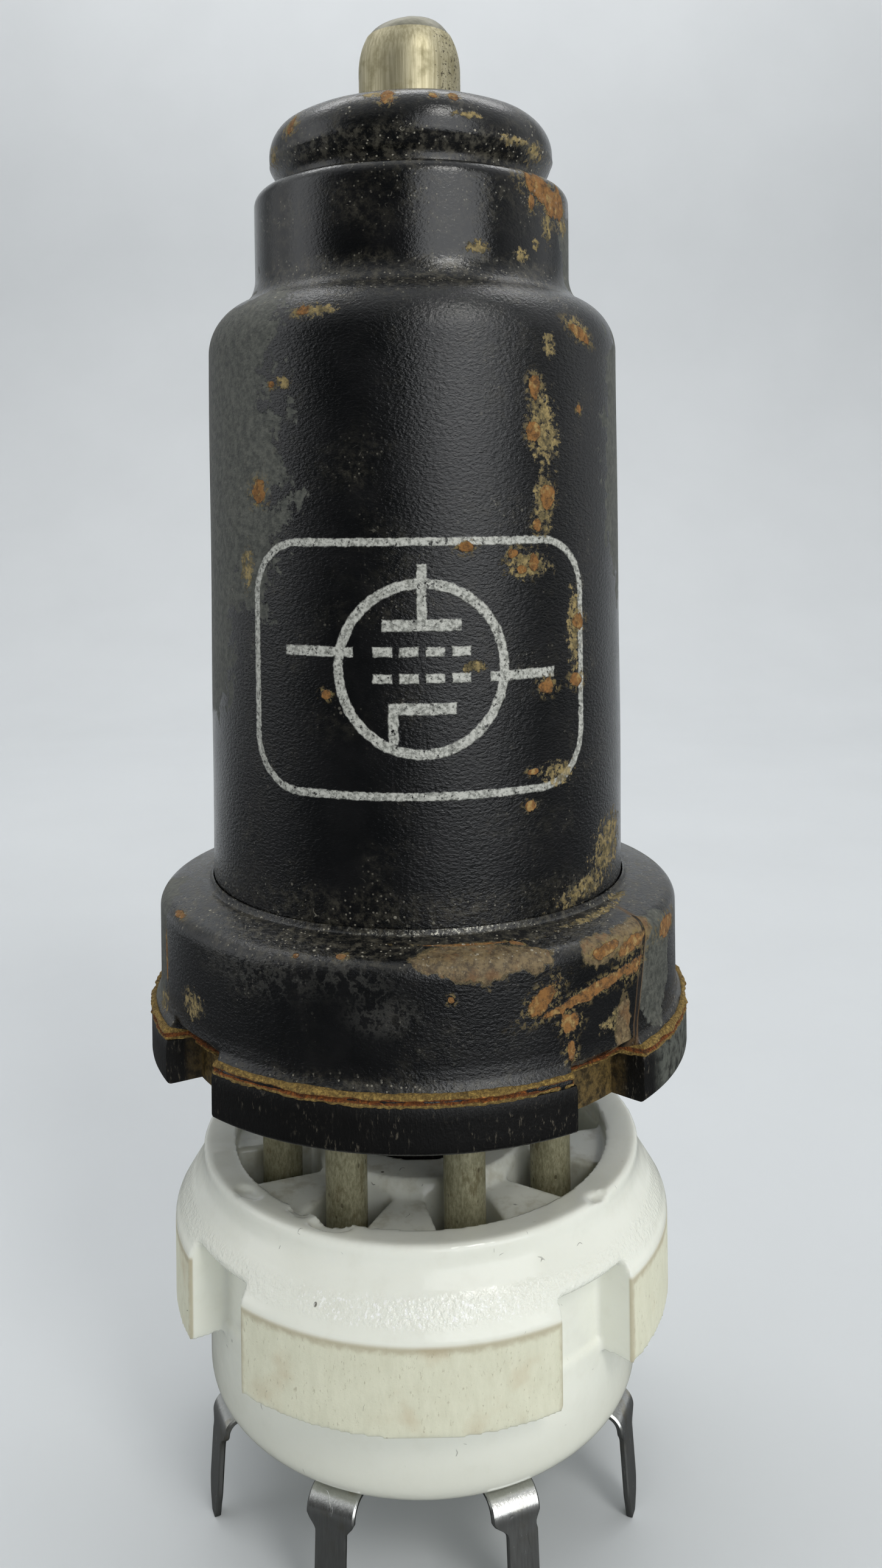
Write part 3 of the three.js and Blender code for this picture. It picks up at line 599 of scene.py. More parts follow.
def skirt_paint():
    """The base shell, measured along its outline so that blots run over its top edge."""
    wear = {
        "faded": [(-80, 6.6, 3.6, 4.2, 8), (57, 6.4, 1.9, 3.4, -10), (110, 7.0, 6.0, 3.0),
                  (-130, 6.0, 5.0, 2.6)],
        "haze": [(-33, 8.2, 5.0, 1.6), (-16, 9.0, 4.0, 1.6, -20), (-6, 6.6, 2.4, 1.2)],
        "stain": [(45, 11.7, 4.4, 0.45, 4), (60, 12.3, 1.5, 0.6), (-70, 3.6, 1.5, 0.8),
                  (41, 4.8, 1.5, 0.6, 20), (-52, 5.0, 1.5, 1.0)],
        "bare": [(5.0, 9.8, 1.5, 1.15, -3), (12, 9.6, 2.8, 1.45, -5), (21.5, 9.4, 1.3, 1.0),
                 (37.5, 9.0, 1.3, 0.95), (47.5, 8.9, 1.8, 1.05, 8), (44, 4.2, 0.6, 1.65, -6),
                 (160, 9.0, 2.6, 1.0), (-150, 8.6, 1.7, 0.8)],
        "crack": [(50, 6.4, 0.14, 3.3, -12)],
        "rust": [(37, 6.8, 3.0, 0.34, 12), (39, 8.7, 1.0, 0.35, 10), (47, 8.4, 1.1, 0.45, 12),
                 (23.5, 6.9, 1.1, 0.5, 38), (29.8, 5.4, 0.6, 0.5), (47.5, 7.2, 0.9, 0.5, 20),
                 (29.6, 3.95, 0.35, 0.6), (64, 8.15, 1.4, 0.5), (-15.4, 10.0, 0.3, 0.3),
                 (-24.4, 9.6, 0.18, 0.22), (5.7, 7.4, 0.2, 0.2), (-62, 9.6, 0.6, 0.3),
                 (-68, 6.2, 0.2, 1.4, 6), (120, 6.0, 1.4, 0.5, 20), (-120, 8.0, 0.7, 0.5),
                 (-160, 5.2, 1.0, 0.4), (10, 11.3, 2.8, 0.1, -3), (20.6, 10.9, 0.2, 0.5, 50)],
    }
    bands = [(9.3, 10.6, 0.35), (2.4, 4.0, 0.2)]
    rolled_r = 15.65

    def along(s):
        return s.z + (rolled_r - s.radius)

    # The last layer is a painted glint along the inner lip.
    return painted("skirt_paint", wear, gloss=0.24, radius=rolled_r, along=along, bands=bands,
                   last=painted_lip_glint)


def collar_paint():
    """The rolled collar: glossier, with rust round its mouth and dust in its lower half."""
    wear = {
        "stain": [(-54, 54.6, 1.2, 0.7), (44, 53.2, 1.6, 0.4), (-15, 55.5, 1.2, 0.3), (22, 54.2, 1.3, 0.3),
                  (58, 53.0, 1.4, 0.8), (-70, 53.4, 1.2, 0.8)],
        "rust": [(-54, 54.6, 0.35, 0.6), (-9, 55.3, 0.45, 0.5), (9, 55.3, 0.25, 0.2),
                 (17, 55.3, 0.3, 0.25), (-75, 55.4, 0.9, 0.2), (150, 55.0, 0.8, 0.4)],
    }
    return painted("collar_paint", wear, gloss=0.26, radius=8.8, bands=[(51.2, 54.0, 0.45)], amount=0.12)


def phenolic():
    """Black moulding with chalky streaks, worn grey with a painted sheen on its right, and brown corrosion in
    the notches.
    """
    s = Surface("phenolic", SEAT)
    streaks = s.noise(0.16, 1, 4.0, 0.7, stretch=(1, 1, 0.3))
    where = s.noise(3.0, 2, 3.0) + s.smooth(s.angle, 30.0, 52.0) * s.smooth(s.angle, 110.0, 70.0) * 0.3
    pale = s.smooth(streaks, 0.56, 0.70) * s.smooth(where, 0.34, 0.64)
    colour = s.mix(s.noise(1.2, 3, 4.0), shade(6, 6, 6), shade(15, 14, 13))
    colour = s.mix(pale * 0.55, colour, shade(112, 104, 88))
    # Lighter grey on the right of the outer rim: partly worn moulding, partly a painted sheen.
    rubbed_and_sheen = s.smooth(s.angle, 50.0, 56.0) * s.smooth(s.angle, 120.0, 95.0) * s.smooth(s.radius, 15.6, 16.0)
    rubbed_and_sheen = rubbed_and_sheen * s.smooth(s.noise(0.5, 7, 5.0, 0.75), 0.30, 0.60)
    colour = s.mix(rubbed_and_sheen * 0.8, colour, shade(98, 101, 93))
    quarter = s.math("PINGPONG", s.angle - NOTCH_CENTRE + 360.0, 45.0)
    pocket = s.smooth(quarter, NOTCH_HALF + 0.4, NOTCH_HALF - 0.6) * s.smooth(s.radius, 15.4, 15.0)
    pocket = pocket * s.smooth(s.radius, 13.6, 14.0)
    tone = s.mix(s.smooth(s.noise(0.4, 6, 5.0, 0.75), 0.35, 0.65), shade(48, 40, 24), shade(112, 92, 52))
    colour = s.mix(pocket * 0.9, colour, tone)
    s.bump(streaks * 0.04 + s.noise(0.12, 5, 2.0) * 0.015)
    rough = s.blend(pale, 0.42, 0.75)
    return s.finish(Base_Color=colour, Roughness=rough, Specular_IOR_Level=0.3)


def pin_plating():
    """Dull plated brass, streaked and spotted with brown."""
    s = Surface("pin_plating", SEAT)
    streak = s.noise(0.14, 1, 5.0, 0.75, stretch=(1, 1, 0.35))
    stain = s.noise(0.8, 2, 4.0, 0.7, stretch=(1, 1, 0.5))
    colour = s.mix(s.smooth(streak, 0.36, 0.66), shade(128, 124, 96), shade(166, 162, 134))
    colour = s.mix(s.smooth(stain, 0.54, 0.68) * 0.55, colour, shade(96, 84, 50))
    pits = s.specks(0.42, 0.32, 0.24, 3, stretch=(1, 1, 0.6))
    colour = s.mix(pits * 0.6, colour, shade(60, 50, 30))
    rough = s.blend(s.smooth(stain, 0.4, 0.7), 0.42, 0.66)
    s.bump(streak * 0.012 - pits * 0.02)
    return s.finish(Base_Color=colour, Roughness=rough, Metallic=0.4)


def cap_plating():
    """Brushed plating gone yellowish, with pits towards its right and rust at its foot."""
    s = Surface("cap_plating", SEAT)
    brushed = s.noise(0.16, 1, 3.0, 0.7, stretch=(1, 1, 0.03))
    tarnish = s.noise(1.4, 2, 4.0, 0.65)
    colour = s.mix(s.smooth(brushed, 0.34, 0.66), shade(166, 158, 128), shade(196, 188, 158))
    colour = s.mix(s.smooth(tarnish, 0.48, 0.72) * 0.5, colour, shade(132, 124, 86))
    side = s.smooth(s.angle, 8.0, 40.0) * 0.3
    pits = s.smooth(s.noise(0.2, 3, 3.0, 0.7) + side, 0.86, 0.94)
    colour = s.mix(pits * 0.8, colour, shade(52, 46, 34))
    low = s.smooth(s.z + (tarnish - 0.5) * 1.5, 57.0, 56.1)
    colour = s.mix(low * 0.7, colour, shade(120, 86, 56))
    rough = s.blend(s.smooth(tarnish, 0.4, 0.7), 0.5, 0.62)
    s.bump(brushed * 0.009 - pits * 0.04)
    return s.finish(Base_Color=colour, Roughness=rough, Metallic=0.85)


def old_solder():
    """Dull blotchy solder."""
    s = Surface("old_solder", SEAT)
    blotch = s.noise(0.8, 1, 4.0, 0.6)
    colour = s.mix(blotch, shade(96, 95, 84), shade(142, 139, 122))
    s.bump(s.noise(0.5, 2, 3.0) * 0.05)
    return s.finish(Base_Color=colour, Roughness=s.blend(blotch, 0.35, 0.6), Metallic=0.8)


def seam_rust_material():
    """Ochre lips either side of a brown crack, with the crust darker in the notches."""
    s = Surface("seam_rust", SEAT)
    grain = s.smooth(s.noise(0.16, 1, 5.0, 0.75), 0.32, 0.68)
    wander = (s.noise(0.9, 2, 3.0) - 0.5) * 0.3
    split = s.noise(0.7, 4, 4.0, 0.7) * 0.16
    lips = s.smooth(s.math("ABSOLUTE", s.z - 2.72 + wander * 0.6) - split, 0.0, 0.08)
    crust = s.mix(grain, shade(70, 36, 14), shade(170, 98, 36))
    colour = s.mix(lips, crust, s.mix(grain, shade(96, 74, 32), shade(186, 154, 82)))
    bald = s.smooth(s.noise(0.8, 3, 5.0, 0.75), 0.56, 0.66)
    colour = s.mix(bald * 0.7, colour, s.mix(grain, shade(26, 22, 16), shade(70, 56, 32)))
    s.bump(grain * 0.08)
    return s.finish(Base_Color=colour, Roughness=0.92)


def glaze():
    """Warm white glaze, left off the worn outer faces of the lugs, with hairs and dirt, painted shade in the
    mouth and low down, and painted glints below the rim.
    """
    s = Surface("glaze")
    turn = s.math("PINGPONG", s.angle - LUG_CENTRE + 360.0, 45.0)
    face = s.smooth(s.radius, 14.84, 14.98) * s.smooth(s.z, 16.7, 16.4) * s.smooth(s.z, 11.7, 12.0)
    white = s.mix(s.noise(6.0, 1, 3.0), shade(240, 241, 231), shade(231, 232, 219))
    clay = s.mix(s.noise(0.5, 2, 4.0, 0.7, stretch=(1, 1, 0.3)), shade(205, 204, 180), shade(230, 229, 207))
    clay = s.mix(s.smooth(s.noise(2.5, 3, 3.0), 0.5, 0.75) * 0.5, clay, shade(196, 180, 148))
    edge = s.smooth(turn + (s.noise(0.5, 4, 3.0) - 0.5) * 1.5, 33.2, 34.6)
    edge = s.math("MAXIMUM", edge, s.smooth(s.z + (s.noise(0.4, 5, 3.0) - 0.5) * 0.5, 16.0, 16.4))
    clay = s.mix(edge * 0.55, clay, shade(160, 146, 116))
    speckle = s.smooth(s.noise(0.14, 6, 3.0, 0.7, stretch=(1, 1, 0.35)), 0.60, 0.72)
    clay = s.mix(speckle * 0.6, clay, shade(164, 157, 130))
    colour = s.mix(face, white, clay)
    grit = s.specks(1.7, 0.16, 0.07, 7, stretch=(1, 1, 0.6))
    flecks = s.math("MAXIMUM", grit, s.fibres(1.1, 0.30, 8) * 0.7)
    colour = s.mix(flecks * 0.85, colour, shade(74, 70, 58))
    # Painted shade: darker inside the mouth, mottled by the same noise that lays a light dirt everywhere.
    mouth = s.smooth(s.radius, 11.6, 10.8) * s.smooth(s.z, 15.0, 19.0)
    grime_and_shade = s.smooth(s.noise(1.4, 9, 4.0, 0.6), 0.48, 0.72)
    colour = s.mix(grime_and_shade * mouth * 0.35 + grime_and_shade * 0.06, colour, shade(168, 160, 128))
    # Painted shade: the body darkens towards the bottom.
    painted_low_shade = s.smooth(s.z, 11.0, 7.0) * 0.6
    colour = s.mix(painted_low_shade, colour, shade(206, 206, 192))
    rough = s.blend(face, s.blend(s.noise(1.5, 10, 2.0), 0.12, 0.24), 0.78)
    orange_skin = s.smooth(s.z, 17.0, 17.5) * s.smooth(s.z, 18.7, 18.1) * s.smooth(s.radius, 13.6, 13.9)
    ripple = s.noise(0.24, 14, 2.0, 0.6) * 0.09 * orange_skin
    # Painted glints: near-white specks on the rippled band, kept to the front where the light falls.
    lit = orange_skin * s.smooth(s.math("ABSOLUTE", s.angle + 2.0), 42.0, 12.0)
    painted_glints = s.smooth(s.noise(0.2, 15, 3.0, 0.7, stretch=(1, 1, 0.8)) + lit * 0.06, 0.62, 0.67) * lit
    colour = s.mix(painted_glints * 0.9, colour, shade(255, 255, 251))
    waves = s.noise(2.2, 11, 2.0) * 0.05 + s.noise(0.5, 13) * 0.008
    s.bump(waves + s.noise(0.3, 12, 3.0, 0.7) * 0.02 * face + ripple)
    return s.finish(Base_Color=colour, Roughness=rough, Specular_IOR_Level=0.5, Subsurface_Weight=0.15,
                    Subsurface_Radius=(1.0, 0.9, 0.8), Subsurface_Scale=0.8 * MM)


def tinned_strip():
    """Bright tinned strip with rolling lines, fine scratches and old flux by the body."""
    s = Surface("tinned_strip")
    rolled = s.noise(0.12, 1, 3.0, 0.7, stretch=(1, 1, 0.06))
    colour = s.mix(rolled, shade(178, 178, 174), shade(226, 227, 224))
    flux = s.smooth(s.noise(1.2, 2, 3.0), 0.5, 0.7) * s.smooth(s.z, 3.0, 6.5)
    colour = s.mix(flux * 0.5, colour, shade(170, 158, 120))
    scratches = s.fibres(1.6, 0.4, 3, stretch=(1, 1, 0.3))
    s.bump(rolled * 0.012 - scratches * 0.01)
    return s.finish(Base_Color=colour, Roughness=s.blend(rolled, 0.16, 0.32), Metallic=1.0)


def inner_metal(name, light, dark, roughness, metallic=0.9):
    """Parts inside the shell: lightly mottled sheet and wire."""
    s = Surface(name, SEAT)
    mottle = s.noise(0.8, 1, 4.0, 0.6)
    s.bump(s.noise(0.25, 2, 3.0) * 0.01)
    rough = s.blend(mottle, roughness - 0.08, roughness + 0.1)
    return s.finish(Base_Color=s.mix(mottle, shade(*dark), shade(*light)), Roughness=rough, Metallic=metallic)


def sealing_glass():
    """Greenish sealing glass with small bubbles."""
    s = Surface("sealing_glass", SEAT)
    bubbles = s.specks(0.3, 0.3, 0.3, 1)
    s.bump(bubbles * -0.01)
    tone = s.mix(s.noise(0.6, 2, 2.0), shade(92, 120, 112), shade(140, 160, 150))
    return s.finish(Base_Color=tone, Roughness=0.1, Transmission_Weight=0.5)


# ---------------------------------------------------------------- the tube
def envelope():
    """The drawn shell: a cylinder, a rounded shoulder, a neck that flares to a crease, a hidden flange."""
    side, shoulder, shoulder_z, shoulder_turn = 12.58, 3.22, 41.6, 70
    neck, flare, flare_z, flare_turn = 9.74, 2.6, 46.3, 30
    top, wall = 51.55, 0.6

    def wall_line(depth, steps):
        edge = 0.9 - min(depth, 0.45)
        line = arc(side - shoulder, shoulder_z, shoulder - depth, 0, shoulder_turn, steps)
        line += arc(neck + flare, flare_z, flare + depth, 180 + flare_turn, 180, steps // 2)
        return line + arc(neck - depth - edge, top - depth - edge, edge, 0, 90, steps // 2)

    outside = [(14.3, 8.3), (14.3, 8.85), (side + 0.3, 8.85), (side, 9.2)] + wall_line(0.0, 20)
    outside = finer(outside, 0.6, closed=False)
    inside = [(3.2, top), (3.2, top - wall)] + wall_line(wall, 8)[::-1] + [(side - wall, 8.3)]

    def shape(angle, r, z):
        height = z - SEAT
        turn = np.radians(angle)
        dents = 0.02 * np.sin(3 * turn + 0.7) * np.sin(height * 0.21)
        dents += 0.015 * np.sin(5 * turn + height * 0.4)
        return np.where(height > 9.5, r + dents, r), z

    vertices, faces = turned_grid(lift(outside + inside), evenly(288), shape)
    return piece("envelope_shell", vertices, faces, TUBE, envelope_paint(), ["envelope"])


def collar():
    """The cap support, rolled over the insulator by hand pressure, so the roll is a little uneven."""
    roll, centre, middle, wall = 2.3, 6.5, 53.8, 0.5
    outline = [(4.6, 51.6), (8.2, 51.6), (8.16, 52.1)]
    outline += arc(centre, middle, roll, -40, 20, 14)
    outline += arc(centre, middle, roll, 22, 96, 18)
    outline += arc(centre, middle, roll - wall, 96, -42, 18)
    outline += [(7.7, 52.1), (4.6, 52.1)]

    def shape(angle, r, z):
        turn = np.radians(angle)
        height = z - SEAT - middle
        bulge = smoothstep(r, 6.3, 7.6)
        uneven = 0.05 * np.sin(2 * turn + 0.4) + 0.035 * np.sin(5 * turn + 1.1) + 0.02 * np.sin(9 * turn)
        ridge = 0.06 * np.exp(-((height + 0.5 + 0.12 * np.sin(3 * turn)) / 0.16) ** 2)
        return r + bulge * (uneven * 0.6 + ridge), z + bulge * uneven * 0.5 * smoothstep(height, -1.8, 0.0)

    vertices, faces = turned_grid(lift(finer(outline, 0.3)), evenly(240), shape)
    return piece("cap_collar", vertices, faces, TUBE, collar_paint(), ["cap_support"])


def insulator(material):
    """The moulded disc inside the collar, with the boss that carries the cap."""
    outline = [(1.0, 52.2), (7.1, 52.2)] + arc(6.5, 53.8, 1.6, -38, 80, 12)
    outline += [(6.2, 55.4), (5.4, 55.65), (3.85, 56.15), (2.65, 56.15), (2.65, 57.9), (1.0, 57.9)]
    vertices, faces = turned_grid(lift(outline), evenly(96))
    return piece("cap_insulator_disc", vertices, faces, TUBE, material, ["cap_insulator"])


def crown(depth, start, end, steps):
    """Part of the cap's rounded top, at a depth below its surface."""
    return arc(1.45, 59.25, 1.725 - depth, start, end, steps, CROWN_RISE - depth)


def cap():
    """The plated top cap, open at the crown where the solder closes it."""
    outline = [(2.825, 56.2), (3.1, 56.2), (3.175, 56.3)] + crown(0, 0, CROWN_EDGE - 2, 16)
    outline += [(2.68, 61.41), (2.56, 61.35)] + crown(0.35, CROWN_EDGE, 0, 8)

    def shape(angle, r, z):
        turn = np.radians(angle)
        return r + 0.012 * np.sin(3 * turn) + 0.008 * np.sin(7 * turn + z), z

    vertices, faces = turned_grid(lift(finer(outline, 0.4)), evenly(160), shape)
    return piece("top_cap", vertices, faces, TUBE, cap_plating(), ["grid_cap"])


def cap_dome():
    """The solder that closes the cap: a low dome with a soft, slightly lopsided flow."""
    outline = [(0.0, 61.41)] + crown(0.04, CROWN_EDGE + 1, 88, 14)
    outline += [(1.0, 62.54), (0.5, 62.74), (0.0, 62.8)]

    def shape(angle, r, z):
        turn = np.radians(angle)
        flow = 0.06 * np.sin(turn + 0.8) + 0.05 * np.sin(2 * turn)
        return r, z + flow * smoothstep(r, 0.2, 1.5) * smoothstep(2.7 - r, 0.0, 0.8)

    vertices, faces = turned_grid(lift(outline), evenly(96), shape)
    return piece("cap_solder_dome", vertices, faces, TUBE, old_solder(), ["cap_solder"])


def notch_depth(angle, soft=0.5):
    """1 over a notch of the base and 0 between notches, with soft edges."""
    off = np.abs(wrapped((np.asarray(angle, float) - NOTCH_CENTRE) * 4.0)) / 4.0
    return smoothstep(NOTCH_HALF - off, -soft, soft)


def notch_angles(coarse, fine):
    """Angles round the whole circle, closer together at the notch edges."""
    angles = set(np.round(np.arange(0, 360, coarse), 4))
    for k in range(4):
        for side in (-1, 1):
            middle = NOTCH_CENTRE + 90 * k + side * NOTCH_HALF
            angles |= set(np.round(np.arange(middle - 1.4, middle + 1.4, fine) % 360, 4))
    return sorted(angles)


def skirt():
    """The base shell. At each notch its edge is pressed inwards under the base, which locks them together."""
    side, wall, foot, corner_r, corner_z = 15.75, 0.5, 2.5, 14.85, 8.5
    outer = [(16.22, foot), (16.25, foot + 0.16), (16.12, foot + 0.5), (15.85, foot + 0.95)]
    outer.append((side, foot + 1.6))
    outer += arc(corner_r, corner_z, side - corner_r, 0, 76, 12) + [(14.1, 9.6), (13.25, 9.78)]
    outer += arc(13.0, 9.98, 0.22, -100, -170, 5) + [(12.74, 10.08)]
    inner = [(12.64, 10.08), (12.66, 9.5)] + arc(corner_r, corner_z, 0.42, 82, 0, 4)
    inner += [(side - wall, foot + 1.6), (15.4, foot + 0.8), (15.72, foot)]
    outline = finer(outer, 0.2, closed=False) + finer(inner, 0.6, closed=False)

    def shape(angle, r, z):
        height = z - SEAT
        turn = np.radians(angle)
        notch = notch_depth(angle, 1.1)
        arch = 3.55 + 0.12 * np.sin(5 * turn + 1.3)
        pressed = notch * np.clip((arch - height) / (arch - foot), 0.0, 1.0) ** 0.8
        inward = 1.75 + 0.12 * np.sin(17 * turn) + 0.08 * np.sin(29 * turn + 1)
        r = r - pressed * inward
        z = z - pressed * 0.12
        wavy = 0.03 * np.sin(7 * turn) + 0.02 * np.sin(13 * turn + 1.0)
        side_part = smoothstep(height, foot, foot + 1.0) * smoothstep(height, 9.6, 8.4)
        edge = smoothstep(height, foot + 0.5, foot) * (1 - notch)
        r = r + wavy * side_part + 0.05 * np.sin(9 * turn + 2) * edge
        return r, z + 0.05 * np.sin(10 * turn) * edge

    vertices, faces = turned_grid(lift(outline), notch_angles(0.75, 0.3), shape)
    return piece("base_skirt", vertices, faces, TUBE, skirt_paint(), ["base_shell"])


def seam_rust():
    """Rust grown out of the seam between the skirt and the base: two crusty lips with a crack between."""
    middle_r, middle_z, half_r, half_z = 16.14, 2.72, 0.3, 0.37
    turns = np.linspace(0, 2 * math.pi, 25)[:-1]
    section = [(middle_r + half_r * math.cos(t), middle_z + half_z * math.sin(t)) for t in turns]

    def shape(angle, r, z):
        turn = np.radians(angle)
        height = z - SEAT - middle_z
        points = np.stack([np.sin(turn) * 16, -np.cos(turn) * 16, z], -1).reshape(-1, 3)
        grain = roughly(points, 0.28, 3).reshape(r.shape) * 0.09
        swell = roughly(points, 1.3, 5).reshape(r.shape) * 0.13
        missing = smoothstep(roughly(points, 2.6, 8).reshape(r.shape), 0.25, 0.50) * 0.12
        notch = notch_depth(angle, 0.9)
        outward = smoothstep(r, middle_r - 0.1, middle_r + 0.25)
        crack = 0.2 * np.exp(-((height + swell * 0.6) / 0.08) ** 2) * outward
        r = r + (grain + swell) * outward - crack - missing * outward - notch * 1.35
        drift = swell * 0.5 - notch * 0.12
        return r, SEAT + middle_z + height * (1 + grain - 0.5 * notch) + drift

    vertices, faces = turned_grid(lift(section), notch_angles(0.5, 0.3), shape)
    return piece("seam_rust_bead", vertices, faces, TUBE, seam_rust_material(), crease=60)


def base_moulding(material):
    """The octal base: a notched disc, the aligning plug with its key, and holes for the pins."""
    rim = [(3.95, 0.0), (15.9, 0.0)] + arc(16.06, 0.3, 0.3, -90, 0, 5) + [(16.36, 2.2), (16.28, 2.44)]
    top = [(12.5, 2.44), (12.0, 3.64), (2.9, 3.64), (2.9, -13.1), (0.0, -13.1), (0.0, -14.3)]
    plug = arc(3.35, -13.7, 0.6, -90, 0, 6)
    outline = lift(finer(rim, 0.5, closed=False) + top + plug)
    floor = 14.3  # the radius that the notches reach down to

    def shape(angle, r, z):
        outer = smoothstep(r, 14.3, 14.4) * smoothstep(z - SEAT, 3.2, 2.6)
        cut = notch_depth(angle, 0.22)
        return np.where(r > floor, r - (r - floor) * cut * outer, r), z

    vertices, faces = turned_grid(outline, notch_angles(1.5, 0.1), shape)
    body = temporary("moulding", vertices, faces)
    key = spun(box_mesh("key", 3.2, 4.95, 1.0, 1.0, SEAT - 13.5, SEAT + 0.4), KEY_ANGLE)
    combined(body, [key], "UNION")
    holes = []
    for number in pin_numbers():
        hole_outline = [(0.0, SEAT - 1.0), (1.22, SEAT - 1.0), (1.22, SEAT + 5.0), (0.0, SEAT + 5.0)]
        hole = temporary("hole", *turned_grid(hole_outline, evenly(32)))
        x, y = pin_place(number)
        hole.data.transform(Matrix.Translation((x * MM, y * MM, 0)))
        holes.append(hole)
    combined(body, holes, "DIFFERENCE")
    body.name = "octal_base_moulding"
    return dressed(body, TUBE, material, ["octal_base"], crease=30)


def pin_numbers():
    return [n for n in range(1, 9) if f"pin_{n}" in frame["nodes"]]


def pin_angle(number):
    return KEY_ANGLE + PIN_PITCH * (number - 0.5)


def pin_place(number):
    turn = math.radians(pin_angle(number))
    return PIN_CIRCLE * math.sin(turn), -PIN_CIRCLE * math.cos(turn)


def pins():
    """Hollow pins, rolled at the top of the base and rounded over at the tip, each with a blob of solder."""
    material = pin_plating()
    outline = [(0.0, -10.95), (0.35, -11.1)] + arc(0.48, -10.4, 0.7, -85, 0, 8)
    outline += [(1.18, 3.69), (1.53, 3.69), (1.53, 4.09), (0.75, 4.09), (0.75, -9.9), (0.0, -10.2)]
    for number in pin_numbers():
        x, y = pin_place(number)

        def shape(angle, r, z, turn=number * 0.9):
            return r * (1 + 0.004 * np.sin(3 * np.radians(angle) + turn + z)), z

        vertices, faces = turned_grid(lift(finer(outline, 1.0)), evenly(48), shape)
        vertices += np.array([x, y, 0.0])
        piece(f"base_pin_{number}", vertices, faces, TUBE, material, [f"pin_{number}"])


# ---------------------------------------------------------------- the socket
def socket_body():
    """The ceramic body: a cavity round each pin, a keyed centre bore, and four lugs between scallops."""
    foot, foot_round, body_r, lug_bottom, lug_top, lug_r = 6.5, 1.4, 13.05, 11.9, 16.45, 15.1
    rim_r, rim_top, rim_inner, floor, boss_r, boss_top = 13.38, 20.6, 11.45, 19.5, 6.4, 20.4
    outline = [(0.0, foot)] + arc(body_r - foot_round, foot + foot_round, foot_round, -90, 0, 10)
    outline += [(body_r, lug_bottom), (lug_r, lug_bottom), (lug_r, lug_top), (lug_r - 0.05, lug_top + 0.35)]
    outline += [(14.62, 17.5), (14.15, 18.25), (13.8, 18.8), (13.5, 19.3), (rim_r, 19.75)]
    outline += arc(rim_r - 0.35, rim_top - 0.32, 0.35, 0, 90, 6, 0.32) + [(rim_inner, 20.42)]
    outline += [(rim_inner, floor), (boss_r + 0.5, floor), (boss_r, boss_top), (0.0, boss_top)]
    body = temporary("ceramic", *turned_grid(outline, evenly(180)))
    tools = [temporary("bore", *turned_grid([(0.0, 0), (4.25, 0), (4.25, 25), (0.0, 25)], evenly(64)))]
    tools.append(spun(box_mesh("keyway", 1.0, 5.5, 1.3, 1.3, 0, 25), KEY_ANGLE))
    for i in range(8):
        angle = FIRST_PIN + PIN_PITCH * i
        tools.append(spun(box_mesh("cavity", 6.6, 11.2, 1.75, 2.0, 7.8, 25), angle))
        tools.append(spun(box_mesh("slot", 9.7, 10.75, 1.5, 1.5, 0, 9), angle))
    outside = 18.0  # well clear of the lugs
    for i in range(4):
        start = LUG_CENTRE + LUG_HALF + 90 * i
        gap = start + 90 - 2 * LUG_HALF
        clear = [(body_r, 11.0), (outside, 11.0), (outside, 14.0), (body_r, 14.0)]
        tools.append(sector_mesh("gap", clear, start, gap, 8))
        hollow = [(12.85, 12.4), (outside, 12.1), (outside, 18.4), (14.6, 17.7)]
        hollow += arc(13.95, 16.0, 1.1, 70, 180, 8, 1.25)
        tools.append(sector_mesh("scallop", hollow, start, gap, 8))
    chips = [(-25, 11.8, 0.95, 3), (-35, 11.6, 0.7, 5), (-52, 12.4, 0.7, 9)]
    chips += [(-14, 11.5, 0.45, 4), (48, 13.1, 0.6, 7)]
    tools += [chip(*place) for place in chips]
    combined(body, tools, "DIFFERENCE")
    remesh = body.modifiers.new("even", "REMESH")
    remesh.mode = "VOXEL"
    remesh.voxel_size = 0.17 * MM
    ease = body.modifiers.new("ease", "SMOOTH")
    ease.factor, ease.iterations = 0.5, 1
    baked(body)
    body.name = "ceramic_body"
    return dressed(body, SOCKET, glaze(), ["socket_body"], crease=180)


def chip(angle, radius, size, seed):
    """A jagged lump that knocks a flake out of the rim."""
    work = bmesh.new()
    bmesh.ops.create_icosphere(work, subdivisions=2, radius=1.0)
    turn = math.radians(angle)
    middle = Vector((radius * math.sin(turn), -radius * math.cos(turn), 20.75))
    for vertex in work.verts:
        rough = 1.0 + 0.35 * noise.noise(vertex.co * 1.7 + Vector((seed, 0, 0)))
        grown = Vector((vertex.co.x * 1.5, vertex.co.y, vertex.co.z * 0.8)) * size * rough
        vertex.co = (middle + Matrix.Rotation(turn, 3, "Z") @ grown) * MM
    mesh = bpy.data.meshes.new("chip")
    work.to_mesh(mesh)
    work.free()
    obj = bpy.data.objects.new("chip", mesh)
    bpy.context.scene.collection.objects.link(obj)
    return obj


